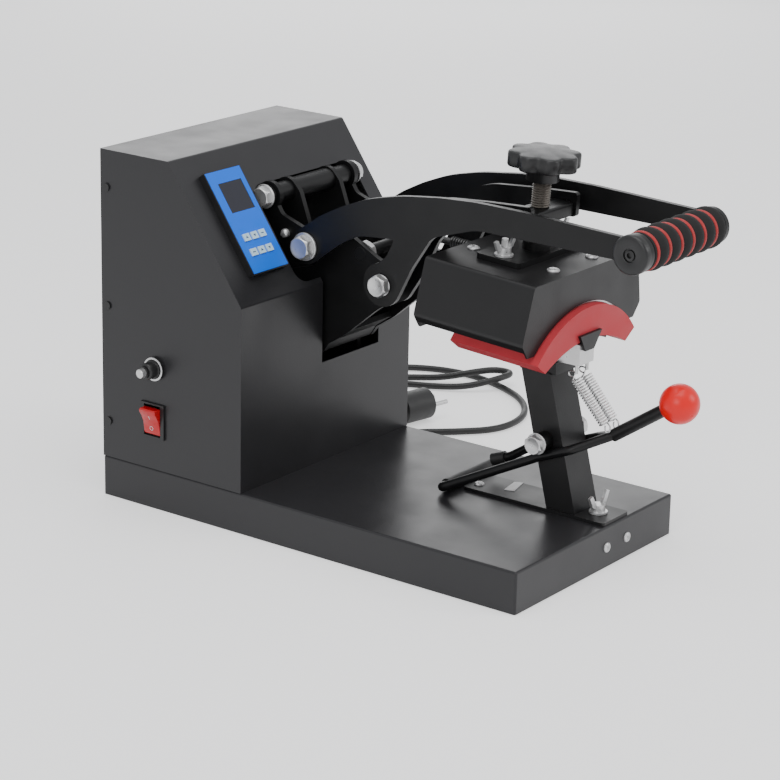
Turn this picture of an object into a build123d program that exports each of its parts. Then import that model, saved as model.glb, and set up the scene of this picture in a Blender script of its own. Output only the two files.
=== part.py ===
from build123d import *
import math
import os

# Cap heat press. Millimetres, +X right, +Y to the rear, +Z up.
# Parts are drawn with Y measured back from the base's front edge and, for the
# mechanism, X measured from the mechanism's centre plane; save() shifts them so
# the origin is the middle of the base's underside.

os.makedirs("parts", exist_ok=True)

# ---------------------------------------------------------------- casing sizes
BASE_W = 240.0
BASE_L = 444.0
BASE_H = 36.5
SHEET = 1.5
BEND = 3.0
HOUSING_FRONT = 286.0
FOLD_Z = 201.5
SLOPE_TOP_Y = 367.0
HOUSING_TOP = 315.3
MECH_X = 32.0

SLOT_HALF = 70.0
SLOT_TOP_S = 100.0
SLOT_CORNER = 12.0
THROAT_HALF = 41.0
THROAT_BOTTOM = 128.0

# ------------------------------------------------------------- linkage pivots
J0 = (322.0, 184.0)
J1 = (335.5, 273.8)
J2 = (290.0, 237.0)
J3 = (208.0, 217.5)
GRIP = (-40.0, 288.8)
STOP = (315.9, 243.3)
STUD = (249.0, 232.5)

PLATE_T = 5.0
FRAME_IN = 25.5
HEAD_IN = 32.0
LINK_IN = 50.5
HANDLE_IN = 56.0
FRAME_OUT = FRAME_IN + PLATE_T
HEAD_OUT = HEAD_IN + PLATE_T
LINK_OUT = LINK_IN + PLATE_T
HANDLE_OUT = HANDLE_IN + PLATE_T

BOLT_R = 5.0
BOLT_HEX = 17.0
BOLT_HEAD_T = 5.5
WASHER_R = 10.5
WASHER_T = 1.5
FACE_GAP = 0.3
RUN_GAP = 0.05
FIT_GAP = 0.05
SHAFT_R = 6.0
EYE_R = 16.0
LOBE_R = 19.0
GRIP_EYE_R = 16.0

# slot in the handle arm's rear eye: the pin's travel, its direction and its play
SLOT_DIR = 44.7
SLOT_TRAVEL = 6.1
SLOT_SIDE = 0.52
SLOT_PLAY = 0.15

# ------------------------------------------------------------------ the head
HEAD_PITCH = 3.49
HEAD_Y = 40.4
HEAD_Z = 250.0
COVER_L = 109.6
COVER_TOP = 78.6
COVER_BEND = 89.9
COVER_BEND_W = -48.4
COVER_LIP = 80.9
COVER_LIP_W = -60.6
ARCH_R = 96.0
ARCH_W = -127.7
PLATEN_GAP = 0.3
PLATEN_T = 6.0
HEATER_T = 2.0
SCREW_V = 52.5
ROD_R = 8.0
KNOB_R = 31.0
KNOB_LOBES = 8

# ---------------------------------------------------------- pad, post, lever
PAD_V0 = -6.3
PAD_V1 = 81.5
PAD_END = 74.3
PAD_IN_END = 61.3
PAD_IN_R = 125.0
PAD_T = 28.6
POST_HALF = 17.5
POST_D = 28.0
POST_LEAN = 14.3
POST_Y = 46.0
POST_TOP = 158.0
FOOT_T = 3.0
LEVER = (64.7, 99.2)
BALL = (-53.4, 151.9)
BALL_R = 17.0
ROD = 4.0
THICK_ROD = 5.5
CROSS_Z = 42.1

# ----------------------------------------------------------------- mains cord
CORD_R = 3.3


# ------------------------------------------------------------------- helpers
def yz_slab(points, x0, x1, radii=None):
    """Flat plate lying in a Y-Z plane, from x0 to x1."""
    if radii is None:
        wire = Polyline(*points, close=True)
    else:
        wire = FilletPolyline(*points, radius=radii, close=True)
    face = Plane.YZ.offset(x0) * make_face(wire)
    return extrude(face, amount=x1 - x0)


def xz_slab(points, y0, y1, radii=None):
    """Flat plate lying in an X-Z plane, from y0 to y1."""
    if radii is None:
        wire = Polyline(*points, close=True)
    else:
        wire = FilletPolyline(*points, radius=radii, close=True)
    plane = Plane(origin=(0, y1, 0), x_dir=(1, 0, 0), z_dir=(0, -1, 0))
    return extrude(plane * make_face(wire), amount=y1 - y0)


def box(x0, x1, y0, y1, z0, z1):
    """Box from its limits."""
    size = Box(x1 - x0, y1 - y0, z1 - z0)
    return Pos((x0 + x1) / 2, (y0 + y1) / 2, (z0 + z1) / 2) * size


def disc(at, r, x0, x1):
    """Cylinder along X about the point at = (y, z)."""
    bar = Cylinder(r, x1 - x0, align=(Align.CENTER, Align.CENTER, Align.MIN))
    return Pos(x0, at[0], at[1]) * Rot(0, 90, 0) * bar


def ring(at, r_out, r_in, x0, x1):
    """Tube along X."""
    return disc(at, r_out, x0, x1) - disc(at, r_in, x0, x1)


def hexagon(at, across, x0, x1):
    """Hexagonal prism along X."""
    face = RegularPolygon(across / 2, 6, major_radius=False)
    plane = Plane.YZ.offset(x0) * Pos(at[0], at[1]) * face
    return extrude(plane, amount=x1 - x0)


def pin(x, y, z, r, height):
    """Upright cylinder standing on z."""
    bar = Cylinder(r, height, align=(Align.CENTER, Align.CENTER, Align.MIN))
    return Pos(x, y, z) * bar


def rod(p, q, r):
    """Round bar between two points."""
    a = Vector(*p)
    b = Vector(*q)
    bar = Cylinder(r, (b - a).length, align=(Align.CENTER, Align.CENTER, Align.MIN))
    return Plane(origin=a, z_dir=b - a).location * bar


def bent_rod(points, radii, r):
    """Round bar along straight runs joined by bends."""
    path = FilletPolyline(*points, radius=radii)
    face = Plane(origin=path @ 0, z_dir=path % 0) * Circle(r)
    return sweep(face, path=path)


def bend_radii(points):
    """Bend radius at each inner corner, from the shorter run and the turn."""
    radii = []
    for i in range(1, len(points) - 1):
        a = Vector(*points[i]) - Vector(*points[i - 1])
        b = Vector(*points[i + 1]) - Vector(*points[i])
        turn = math.radians(a.get_angle(b))
        radii.append(0.45 * min(a.length, b.length) / math.tan(turn / 2))
    return radii


def pair(make):
    """The same piece on the left and on the right of the centre plane."""
    right = make
    left = mirror(make, about=Plane.YZ)
    return [left, right]


def mech(shape):
    """From the mechanism's centre plane to the base's."""
    return Pos(MECH_X, 0, 0) * shape


def head(shape):
    """From the head's own frame (tilted forwards) to the mechanism's."""
    return Location((0, HEAD_Y, HEAD_Z), (HEAD_PITCH, 0, 0)) * shape


def save(name, *solids):
    """Write one node, origin at the middle of the base's underside."""
    moved = []
    for solid in solids:
        moved.append(Pos(0, -BASE_L / 2, 0) * solid)
    if len(moved) == 1:
        shape = moved[0]
    else:
        shape = Compound(children=moved)
    export_step(shape, f"parts/{name}.step")


# ------------------------------------------------------------------ the base
HALF_W = BASE_W / 2
FLANGE = 14.0
M3 = 1.5
M4 = 2.0
M8 = 4.0

tray = box(-HALF_W, HALF_W, 0, BASE_L, SHEET, BASE_H)
tray = fillet(tray.edges().filter_by(Axis.Z) + tray.faces().sort_by(Axis.Z)[-1].edges(), 2.0)
tray = tray - box(-HALF_W + SHEET, HALF_W - SHEET, SHEET, BASE_L - SHEET, 2 * SHEET, BASE_H - SHEET)
tray = tray - box(-HALF_W + FLANGE, HALF_W - FLANGE, FLANGE, BASE_L - FLANGE, 0, 2.5 * SHEET)

cover_bolts = [(x, y) for x in (-HALF_W + 8, HALF_W - 8) for y in (30.0, BASE_L / 2, BASE_L - 30.0)]
under = box(-HALF_W, HALF_W, 0, BASE_L, 0, SHEET)
under = fillet(under.edges().filter_by(Axis.Z), 2.0)
casing_screws = []
for bx, by in cover_bolts:
    under = under - pin(bx, by, 0, M3 + FIT_GAP, SHEET)
    tray = tray - pin(bx, by, SHEET, M3 + FIT_GAP, SHEET)
    casing_screws.append(pin(bx, by, 0, M3, 8.0))

# channel under the tray's top: carries the post and the front screws
CH_T = 3.0
CH_HALF = 26.0
CH_Y0 = SHEET
CH_Y1 = 170.0
CH_Z0 = 8.0
ch_top = BASE_H - SHEET
channel = box(MECH_X - CH_HALF, MECH_X + CH_HALF, CH_Y0, CH_Y1, CH_Z0, ch_top)
hollow = box(MECH_X - CH_HALF + CH_T, MECH_X + CH_HALF - CH_T, CH_Y0 + CH_T, CH_Y1, CH_Z0, ch_top - CH_T)
channel = channel - hollow

FRONT_SCREWS = (15.6, 47.2)
FRONT_SCREW_Z = 18.0
front_screws = []
for fx in FRONT_SCREWS:
    shank = Pos(fx, -0.9, FRONT_SCREW_Z) * Rot(-90, 0, 0) * Cylinder(2.5, 11.0, align=(Align.CENTER, Align.CENTER, Align.MIN))
    cap = Pos(fx, -1.2, FRONT_SCREW_Z) * Rot(-90, 0, 0) * Cylinder(4.5, 1.15, align=(Align.CENTER, Align.CENTER, Align.MIN))
    front_screws.append(shank + cap)
    hole = Pos(fx, -2, FRONT_SCREW_Z) * Rot(-90, 0, 0) * Cylinder(2.5 + FIT_GAP, 12.0, align=(Align.CENTER, Align.CENTER, Align.MIN))
    tray = tray - hole
    channel = channel - hole

# foot of the post: screw at its rear end, wing screw at its front
FOOT_X0 = 12.0
FOOT_X1 = 52.0
FOOT_Y0 = 2.0
FOOT_Y1 = 146.0
FOOT_SCREW = (25.0, 138.0)
WING_SCREW = (MECH_X, 20.0)
foot_z = BASE_H + FOOT_T
foot_screw = pin(FOOT_SCREW[0], FOOT_SCREW[1], BASE_H - 8, 2.5, FOOT_T + 8)
foot_screw = foot_screw + pin(FOOT_SCREW[0], FOOT_SCREW[1], foot_z, 4.5, 2.4)
front_screws.append(foot_screw)
for at in (FOOT_SCREW, WING_SCREW):
    r = 2.5 if at == FOOT_SCREW else 3.0
    tray = tray - pin(at[0], at[1], BASE_H - SHEET - 1, r + FIT_GAP, SHEET + 2)
    channel = channel - pin(at[0], at[1], ch_top - CH_T - 1, r + FIT_GAP, CH_T + 2)

# ---------------------------------------------------------------- the housing
slope_len = math.hypot(SLOPE_TOP_Y - HOUSING_FRONT, HOUSING_TOP - FOLD_Z)
slope_up = ((SLOPE_TOP_Y - HOUSING_FRONT) / slope_len, (HOUSING_TOP - FOLD_Z) / slope_len)
slope_out = (-slope_up[1], slope_up[0])
SLOPE = Plane(origin=(0, HOUSING_FRONT, FOLD_Z), x_dir=(1, 0, 0), z_dir=(0, slope_out[0], slope_out[1]))


def on_slope(x0, x1, s0, s1, d0, d1, corner=0.0):
    """Block on the sloping panel: x, distance up the slope, height above it."""
    face = Rectangle(x1 - x0, s1 - s0)
    if corner > 0:
        face = fillet(face.vertices(), corner)
    face = Pos((x0 + x1) / 2, (s0 + s1) / 2, d0) * face
    return SLOPE.location * extrude(face, amount=d1 - d0)


def inset(t):
    """Y-Z corner points of the wrap, moved t inwards."""
    n = (-slope_out[0], -slope_out[1])
    base = (HOUSING_FRONT + n[0] * t, FOLD_Z + n[1] * t)
    run = (HOUSING_FRONT + t - base[0]) / slope_up[0]
    fold = (HOUSING_FRONT + t, base[1] + run * slope_up[1])
    rise = (HOUSING_TOP - t - base[1]) / slope_up[1]
    top = (base[0] + rise * slope_up[0], HOUSING_TOP - t)
    return fold, top


in_fold, in_top = inset(SHEET)
band = [
    (HOUSING_FRONT, BASE_H),
    (HOUSING_FRONT, FOLD_Z),
    (SLOPE_TOP_Y, HOUSING_TOP),
    (BASE_L, HOUSING_TOP),
    (BASE_L, HOUSING_TOP - SHEET),
    in_top,
    in_fold,
    (HOUSING_FRONT + SHEET, BASE_H),
]
side_half = HALF_W - SHEET
wrap = yz_slab(band, -side_half, side_half, [0, BEND, BEND, 0, 0, BEND - SHEET, BEND - SHEET, 0])
slot_cut = on_slope(MECH_X - SLOT_HALF, MECH_X + SLOT_HALF, 5.0, SLOT_TOP_S, -12.0, 12.0, SLOT_CORNER)
slot_cut = slot_cut + on_slope(MECH_X - THROAT_HALF, MECH_X + THROAT_HALF, -3.0, 40.0, -12.0, 12.0)
throat_x0 = MECH_X - THROAT_HALF
throat_x1 = MECH_X + THROAT_HALF
throat = box(throat_x0, throat_x1, HOUSING_FRONT - 10, HOUSING_FRONT + 10, THROAT_BOTTOM, FOLD_Z + 4)
wrap = wrap - slot_cut - throat

# controller: bezel let into the slope, face, window and six keys
CTRL_X0 = -94.5
CTRL_X1 = -47.0
CTRL_S0 = 22.5
CTRL_S1 = 120.0
CTRL_H = 7.0
CTRL_IN = -14.0
bezel = on_slope(CTRL_X0, CTRL_X1, CTRL_S0, CTRL_S1, 0.0, CTRL_H, 2.0)
bezel = bezel + on_slope(CTRL_X0 + 3, CTRL_X1 - 3, CTRL_S0 + 3, CTRL_S1 - 3, CTRL_IN, 0.0)
FACE_T = 1.0
FACE_X0 = -93.4
FACE_X1 = -48.1
FACE_S0 = 23.6
FACE_S1 = 118.9
WIN = (-84.0, -53.6, 79.4, 107.5)
KEY_W = 8.0
KEY_L = 6.6
KEY_AT = {
    "key_1": (-81.8, 55.9),
    "key_2": (-71.6, 55.9),
    "key_3": (-61.4, 55.9),
    "key_4": (-81.8, 41.9),
    "key_5": (-71.6, 41.9),
    "key_6": (-61.4, 41.9),
}
KEY_GAP = 0.2
KEY_UP = 1.4
KEY_TRAVEL = 0.8
bezel = bezel - on_slope(FACE_X0, FACE_X1, FACE_S0, FACE_S1, CTRL_H - FACE_T, CTRL_H)
face_plate = on_slope(FACE_X0 + FIT_GAP, FACE_X1 - FIT_GAP, FACE_S0 + FIT_GAP, FACE_S1 - FIT_GAP, CTRL_H - FACE_T, CTRL_H + 0.3)
face_plate = face_plate - on_slope(WIN[0], WIN[1], WIN[2], WIN[3], CTRL_H - FACE_T, CTRL_H + 1)
window = on_slope(WIN[0] + FIT_GAP, WIN[1] - FIT_GAP, WIN[2] + FIT_GAP, WIN[3] - FIT_GAP, CTRL_H - FACE_T, CTRL_H + 0.1)
keys = {}
for key_name, (kx, ks) in KEY_AT.items():
    hx = KEY_W / 2
    hs = KEY_L / 2
    well = on_slope(kx - hx - KEY_GAP, kx + hx + KEY_GAP, ks - hs - KEY_GAP, ks + hs + KEY_GAP, CTRL_H - FACE_T - 3, CTRL_H + 1)
    bezel = bezel - well
    face_plate = face_plate - well
    keys[key_name] = on_slope(kx - hx, kx + hx, ks - hs, ks + hs, CTRL_H - FACE_T - 3 + KEY_TRAVEL + 0.1, CTRL_H + KEY_UP)
for_body = on_slope(CTRL_X0 + 3 - FIT_GAP, CTRL_X1 - 3 + FIT_GAP, CTRL_S0 + 3 - FIT_GAP, CTRL_S1 - 3 + FIT_GAP, -10, 10)
wrap = wrap - for_body

# side sheets
side_out = [
    (HOUSING_FRONT, BASE_H),
    (HOUSING_FRONT, FOLD_Z),
    (SLOPE_TOP_Y, HOUSING_TOP),
    (BASE_L, HOUSING_TOP),
    (BASE_L, BASE_H),
]
left_side = yz_slab(side_out, -HALF_W, -side_half, [0, BEND, BEND, 0, 0])
right_side = yz_slab(side_out, side_half, HALF_W, [0, BEND, BEND, 0, 0])

# rocker switch and fuse holder on the left side
SW_Y0 = BASE_L - 72.5
SW_Y1 = BASE_L - 46.0
SW_Z0 = 66.0
SW_Z1 = 97.5
SW_LIP = 2.0
SW_DEEP = 22.0
sw_y = (SW_Y0 + SW_Y1) / 2
sw_z = (SW_Z0 + SW_Z1) / 2
switch_body = box(-HALF_W - SW_LIP, -HALF_W, SW_Y0, SW_Y1, SW_Z0, SW_Z1)
switch_body = switch_body + box(-HALF_W, -HALF_W + SW_DEEP, SW_Y0 + 2, SW_Y1 - 2, SW_Z0 + 2, SW_Z1 - 2)
left_side = left_side - box(-HALF_W - 1, -side_half + 1, SW_Y0 + 2 - FIT_GAP, SW_Y1 - 2 + FIT_GAP, SW_Z0 + 2 - FIT_GAP, SW_Z1 - 2 + FIT_GAP)
ROCK_HY = 9.0
ROCK_HZ = 12.0
ROCK_TILT = 8.0
well = box(-HALF_W - SW_LIP - 1, -HALF_W + 9, sw_y - ROCK_HY - 0.3, sw_y + ROCK_HY + 0.3, sw_z - ROCK_HZ - 2.2, sw_z + ROCK_HZ + 2.2)
switch_body = switch_body - well
ROCK_X = -HALF_W + 4.5
rocker_side = [
    (-HALF_W - 1.0, sw_z),
    (-HALF_W - 4.0, sw_z + ROCK_HZ),
    (ROCK_X + 2.5, sw_z + ROCK_HZ * 0.62),
    (ROCK_X + 2.5, sw_z - ROCK_HZ * 0.62),
    (-HALF_W - 0.6, sw_z - ROCK_HZ),
]
rocker = xz_slab(rocker_side, sw_y - ROCK_HY, sw_y + ROCK_HY)
axle = Pos(ROCK_X, sw_y - 11.0, sw_z) * Rot(-90, 0, 0) * Cylinder(1.2, 22.0, align=(Align.CENTER, Align.CENTER, Align.MIN))
axle_hole = Pos(ROCK_X, sw_y - 11.1, sw_z) * Rot(-90, 0, 0) * Cylinder(1.2 + RUN_GAP, 22.2, align=(Align.CENTER, Align.CENTER, Align.MIN))
rocker = rocker + axle
switch_body = switch_body - axle_hole

FUSE = (BASE_L - 62.0, 129.6)
FUSE_R = 8.0
fuse_body = disc(FUSE, 10.0, -HALF_W - 3.0, -HALF_W)
fuse_body = fuse_body + disc(FUSE, FUSE_R, -HALF_W, -HALF_W + 30)
fuse_body = fuse_body + ring(FUSE, 11.0, FUSE_R - 0.5, -side_half, -side_half + 4)
fuse_body = fuse_body - disc(FUSE, 6.0, -HALF_W - 4, -HALF_W + 22)
left_side = left_side - disc(FUSE, FUSE_R + FIT_GAP, -HALF_W - 1, -side_half + 1)
fuse_cap = disc(FUSE, 7.5, -HALF_W - 13.0, -HALF_W - 3.3)
fuse_cap = fuse_cap + disc(FUSE, 5.9, -HALF_W - 3.3, -HALF_W + 12)
fuse_slot = box(-HALF_W - 14, -HALF_W - 11.5, FUSE[0] - 5, FUSE[0] + 5, FUSE[1] - 0.8, FUSE[1] + 0.8)
fuse_cap = fuse_cap - fuse_slot

# rear panel with its screws, the gland and vents
GLAND = (60.0, 60.0)
rear = box(-side_half, side_half, BASE_L - SHEET, BASE_L, BASE_H, HOUSING_TOP - SHEET)
TAB = 12.0
for sx in (-1, 1):
    tab = box(min(sx * side_half, sx * (side_half - SHEET)), max(sx * side_half, sx * (side_half - SHEET)), BASE_L - TAB, BASE_L - SHEET, BASE_H, HOUSING_TOP - SHEET)
    rear = rear + tab
for vz in range(6):
    rear = rear - box(-70, -10, BASE_L - 2 * SHEET, BASE_L + 1, 150 + 12 * vz, 154 + 12 * vz)
for sx in (-1, 1):
    for sz in (70.0, 176.0, 282.0):
        hole = disc((BASE_L - 7.0, sz), M4 + FIT_GAP, sx * HALF_W - 4, sx * HALF_W + 4)
        rear = rear - hole
        if sx < 0:
            left_side = left_side - hole
            head_piece = disc((BASE_L - 7.0, sz), 3.6, -HALF_W - 1.4, -HALF_W)
            shank = disc((BASE_L - 7.0, sz), M4, -HALF_W - 0.2, -HALF_W + 5)
        else:
            right_side = right_side - hole
            head_piece = disc((BASE_L - 7.0, sz), 3.6, HALF_W, HALF_W + 1.4)
            shank = disc((BASE_L - 7.0, sz), M4, HALF_W - 5, HALF_W + 0.2)
        casing_screws.append(head_piece + shank)
gland_hole = Pos(GLAND[0], BASE_L - 5, GLAND[1]) * Rot(-90, 0, 0) * Cylinder(8 + FIT_GAP, 10, align=(Align.CENTER, Align.CENTER, Align.MIN))
rear = rear - gland_hole

# ------------------------------------------------------------- frame plates
frame_side = [
    (298.0, BASE_H),
    (298.0, 205.0),
    (312.0, 250.0),
    (321.5, 275.0),
    (336.0, 290.0),
    (352.0, 276.0),
    (362.0, 205.0),
    (400.0, 60.0),
    (400.0, BASE_H),
]
frame_plate = yz_slab(frame_side, FRAME_IN, FRAME_OUT, [0, 30, 60, 12, 12.2, 18, 60, 20, 0])
frame_plate = frame_plate + box(FRAME_OUT - 1, 58.0, 312.0, 392.0, BASE_H, BASE_H + PLATE_T)
frame_plate = frame_plate - disc(J1, BOLT_R + FIT_GAP, FRAME_IN - 1, FRAME_OUT + 1)
frame_plate = frame_plate - disc(J0, SHAFT_R + FIT_GAP, FRAME_IN - 1, FRAME_OUT + 1)
FOOT_BOLTS = ((46.0, 330.0), (46.0, 374.0))
for fbx, fby in FOOT_BOLTS:
    frame_plate = frame_plate - pin(fbx, fby, BASE_H - 1, M8 + FIT_GAP, PLATE_T + 2)
    for side in (-1, 1):
        x = MECH_X + side * fbx
        tray = tray - pin(x, fby, BASE_H - SHEET - 1, M8 + FIT_GAP, SHEET + 2)
        bolt = pin(x, fby, BASE_H - SHEET - 7, M8, SHEET + PLATE_T + 7.5)
        bolt = bolt + Pos(x, fby, BASE_H + PLATE_T) * extrude(RegularPolygon(6.5, 6, major_radius=False), amount=5.3)
        casing_screws.append(bolt)
frame_plates = pair(frame_plate)

spacers = [ring(J1, 10.0, BOLT_R + FIT_GAP, -FRAME_IN, FRAME_IN)]
spacers += pair(ring(J1, 9.0, BOLT_R + FIT_GAP, FRAME_OUT, LINK_IN - FACE_GAP))
spacers += [ring(J0, 10.0, SHAFT_R + FIT_GAP, -FRAME_IN, FRAME_IN)]

upper_end = LINK_OUT + FACE_GAP
upper_bolt = disc(J1, BOLT_R, -upper_end - WASHER_T - 0.5, upper_end + WASHER_T + 0.5)
upper_heads = pair(disc(J1, WASHER_R - 1.0, upper_end, upper_end + WASHER_T) + hexagon(J1, BOLT_HEX, upper_end + WASHER_T, upper_end + WASHER_T + BOLT_HEAD_T))
upper_bolt = upper_bolt + upper_heads[0] + upper_heads[1]

shaft_end = HEAD_OUT + FACE_GAP + 1.2
shaft = disc(J0, SHAFT_R, -shaft_end, shaft_end)
shaft_heads = pair(hexagon(J0, 19.0, shaft_end, shaft_end + 6.0))
shaft = shaft + shaft_heads[0] + shaft_heads[1]
BUSH_R = 8.0
bush = ring(J0, BUSH_R, SHAFT_R + RUN_GAP, HEAD_IN - 1.0, HEAD_OUT + 1.0)
bush = bush + ring(J0, 10.5, SHAFT_R + RUN_GAP, HEAD_IN - 1.0, HEAD_IN)

# ---------------------------------------------------------------- head arms
head_side = [
    (74.5, 302.5),
    (75.5, 281.6),
    (140.0, 277.0),
    (165.0, 262.0),
    (183.0, 225.0),
    (199.0, 200.5),
    (225.7, 189.7),
    (263.0, 158.0),
    (281.5, 146.0),
    (288.0, 136.5),
    (311.0, 160.0),
    (333.0, 164.5),
    (330.0, 204.5),
    (300.0, 213.0),
    (262.0, 247.0),
    (256.0, 245.0),
    (229.4, 231.0),
    (214.0, 226.5),
    (205.0, 245.0),
    (190.0, 280.0),
    (174.0, 292.6),
    (159.0, 296.8),
    (118.0, 300.2),
]
head_radii = [3, 3, 40, 25, 60, 18, 60, 60, 2, 0, 20, 0, 0, 20, 4, 6, 60, 6, 30, 20, 30, 60, 100]
head_arm = yz_slab(head_side, HEAD_IN, HEAD_OUT, head_radii)
head_arm = head_arm + disc(J0, 22.0, HEAD_IN, HEAD_OUT)
head_arm = head_arm - disc(J0, BUSH_R + FIT_GAP, HEAD_IN - 1, HEAD_OUT + 1)
head_arm = head_arm - disc(J3, BOLT_R + FIT_GAP, HEAD_IN - 1, HEAD_OUT + 1)
head_arm = head_arm - disc(STUD, SHAFT_R + FIT_GAP, HEAD_IN - 1, HEAD_OUT + 1)
head_pair = pair(head_arm)
WEB_T = 5.0
web_side = [
    (264.5, 158.8),
    (281.5, 147.0),
    (288.4, 136.9),
    (292.5, 139.7),
    (285.0, 150.6),
    (267.3, 162.9),
]
web = yz_slab(web_side, -HEAD_IN, HEAD_IN)
head_arms = head_pair[0] + head_pair[1] + web

J3_NUT_T = 8.0
j3_out = HANDLE_OUT + FACE_GAP
j3_bolt = disc(J3, BOLT_R, HEAD_IN - J3_NUT_T, j3_out + 0.5)
j3_bolt = j3_bolt + disc(J3, WASHER_R - 0.5, j3_out, j3_out + WASHER_T)
j3_bolt = j3_bolt + hexagon(J3, BOLT_HEX, j3_out + WASHER_T, j3_out + WASHER_T + BOLT_HEAD_T)
j3_nut = hexagon(J3, BOLT_HEX, HEAD_IN - J3_NUT_T, HEAD_IN) - disc(J3, BOLT_R + FIT_GAP, 0, HEAD_IN + 1)
stud = disc(STUD, SHAFT_R, -HEAD_OUT - 1.5, HEAD_OUT + 1.5)
stud_nut = hexagon(STUD, 18.0, HEAD_IN - 7, HEAD_IN) - disc(STUD, SHAFT_R + FIT_GAP, 0, HEAD_IN + 1)
head_bolts = pair(j3_bolt) + pair(j3_nut) + [stud] + pair(stud_nut)

handle_spacers = pair(ring(J3, 9.0, BOLT_R + FIT_GAP, HEAD_OUT, HANDLE_IN - FACE_GAP))

BLOCK = (58.0, 106.0, 281.8, 302.3)
block_x = HEAD_IN - 0.1
block = box(-block_x, block_x, BLOCK[0], BLOCK[1], BLOCK[2], BLOCK[3])
block = fillet(block.edges().filter_by(Axis.X), 2.0)
BLOCK_BOLT = (86.0, 292.0)
block_bolts = pair(disc(BLOCK_BOLT, 3.0, HEAD_IN - 12, HEAD_OUT + 0.2) + disc(BLOCK_BOLT, 5.0, HEAD_OUT, HEAD_OUT + 3.0))
for side in (-1, 1):
    hole = disc(BLOCK_BOLT, 3.0 + FIT_GAP, side * HEAD_OUT - 18, side * HEAD_OUT + 18)
    block = block - hole
    head_arms = head_arms - hole
head_bolts += block_bolts

# -------------------------------------------------------------- handle arms
handle_side = [
    (-40.0, 280.8),
    (112.0, 281.8),
    (157.0, 267.5),
    (177.0, 237.0),
    (190.0, 211.0),
    (215.0, 211.0),
    (213.0, 235.0),
    (203.5, 243.0),
    (195.0, 259.6),
    (233.0, 256.2),
    (252.0, 246.0),
    (280.0, 224.6),
    (299.0, 249.6),
    (274.0, 267.0),
    (251.0, 279.0),
    (224.0, 290.0),
    (189.0, 298.0),
    (149.0, 303.0),
    (112.0, 305.0),
    (70.0, 304.5),
    (9.0, 302.0),
    (-40.0, 300.0),
]
handle_radii = [0, 60, 18, 60, 0, 0, 0, 14, 2, 40, 90, 0, 0, 90, 120, 150, 180, 180, 180, 180, 180, 0]
handle_arm = yz_slab(handle_side, HANDLE_IN, HANDLE_OUT, handle_radii)
handle_arm = handle_arm + disc(GRIP, GRIP_EYE_R, HANDLE_IN, HANDLE_OUT)
handle_arm = handle_arm + disc(J3, LOBE_R, HANDLE_IN, HANDLE_OUT)
handle_arm = handle_arm + disc(J2, EYE_R, HANDLE_IN, HANDLE_OUT)
handle_arm = handle_arm - disc(J3, BOLT_R + RUN_GAP, HANDLE_IN - 1, HANDLE_OUT + 1)
slot_rad = math.radians(SLOT_DIR)
slot_along = (math.cos(slot_rad), math.sin(slot_rad))
slot_across = (-slot_along[1], slot_along[0])
slot_r = BOLT_R + SLOT_SIDE + SLOT_PLAY
slot_a = (J2[0] + SLOT_SIDE * slot_across[0], J2[1] + SLOT_SIDE * slot_across[1])
slot_b = (slot_a[0] - SLOT_TRAVEL * slot_along[0], slot_a[1] - SLOT_TRAVEL * slot_along[1])
slot_box = [
    (slot_a[0] + slot_r * slot_across[0], slot_a[1] + slot_r * slot_across[1]),
    (slot_b[0] + slot_r * slot_across[0], slot_b[1] + slot_r * slot_across[1]),
    (slot_b[0] - slot_r * slot_across[0], slot_b[1] - slot_r * slot_across[1]),
    (slot_a[0] - slot_r * slot_across[0], slot_a[1] - slot_r * slot_across[1]),
]
pin_slot = yz_slab(slot_box, HANDLE_IN - 1, HANDLE_OUT + 1)
pin_slot = pin_slot + disc(slot_a, slot_r, HANDLE_IN - 1, HANDLE_OUT + 1)
pin_slot = pin_slot + disc(slot_b, slot_r, HANDLE_IN - 1, HANDLE_OUT + 1)
handle_arm = handle_arm - pin_slot
END_SCREW_R = 4.0
handle_arm = handle_arm - disc(GRIP, END_SCREW_R + FIT_GAP, HANDLE_IN - 1, HANDLE_OUT + 1)
handle_arms = pair(handle_arm)

TUBE_R = 11.0
tube_half = HANDLE_IN - 0.05
handle_tube = disc(GRIP, TUBE_R, -tube_half, tube_half)
handle_tube = handle_tube - disc(GRIP, END_SCREW_R, -tube_half - 1, -tube_half + 20) - disc(GRIP, END_SCREW_R, tube_half - 20, tube_half + 1)
end_screw = disc(GRIP, END_SCREW_R - FIT_GAP, tube_half - 16, HANDLE_OUT + 0.2)
end_screw = end_screw + disc(GRIP, 7.0, HANDLE_OUT, HANDLE_OUT + 3.4)
end_screws = pair(end_screw)
GRIP_R = 16.0
grip_half = HANDLE_IN - 1.5
grip = ring(GRIP, GRIP_R, TUBE_R + FIT_GAP, -grip_half, grip_half)
RING_PITCH = 15.0
for i in range(6):
    x = (i - 2.5) * RING_PITCH
    grip = grip + ring(GRIP, GRIP_R + 0.4, GRIP_R - 1.0, x - 1.5, x + 1.5)

# --------------------------------------------------------------------- links
link_side = [
    (327.5, 283.0),
    (326.5, 266.5),
    (321.5, 259.2),
    (313.0, 256.2),
    (293.0, 249.5),
    (284.5, 226.0),
    (292.0, 224.2),
    (316.0, 231.3),
    (326.5, 237.0),
    (347.0, 269.5),
]
link_radii = [0, 10, 8, 30, 0, 0, 0, 12, 12, 0]
link = yz_slab(link_side, LINK_IN, LINK_OUT, link_radii)
link = link + disc(J1, 12.5, LINK_IN, LINK_OUT) + disc(J2, 13.0, LINK_IN, LINK_OUT)
link = link + disc(STOP, 11.0, LINK_IN, LINK_OUT)
link = link - disc(J1, BOLT_R + RUN_GAP, LINK_IN - 1, LINK_OUT + 1)
link = link - disc(J2, BOLT_R + FIT_GAP, LINK_IN - 1, LINK_OUT + 1)
STOP_R = 3.0
STOP_HEAD_R = 4.0
link = link - disc(STOP, STOP_R + FIT_GAP, LINK_IN - 1, LINK_OUT + 1)
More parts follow.
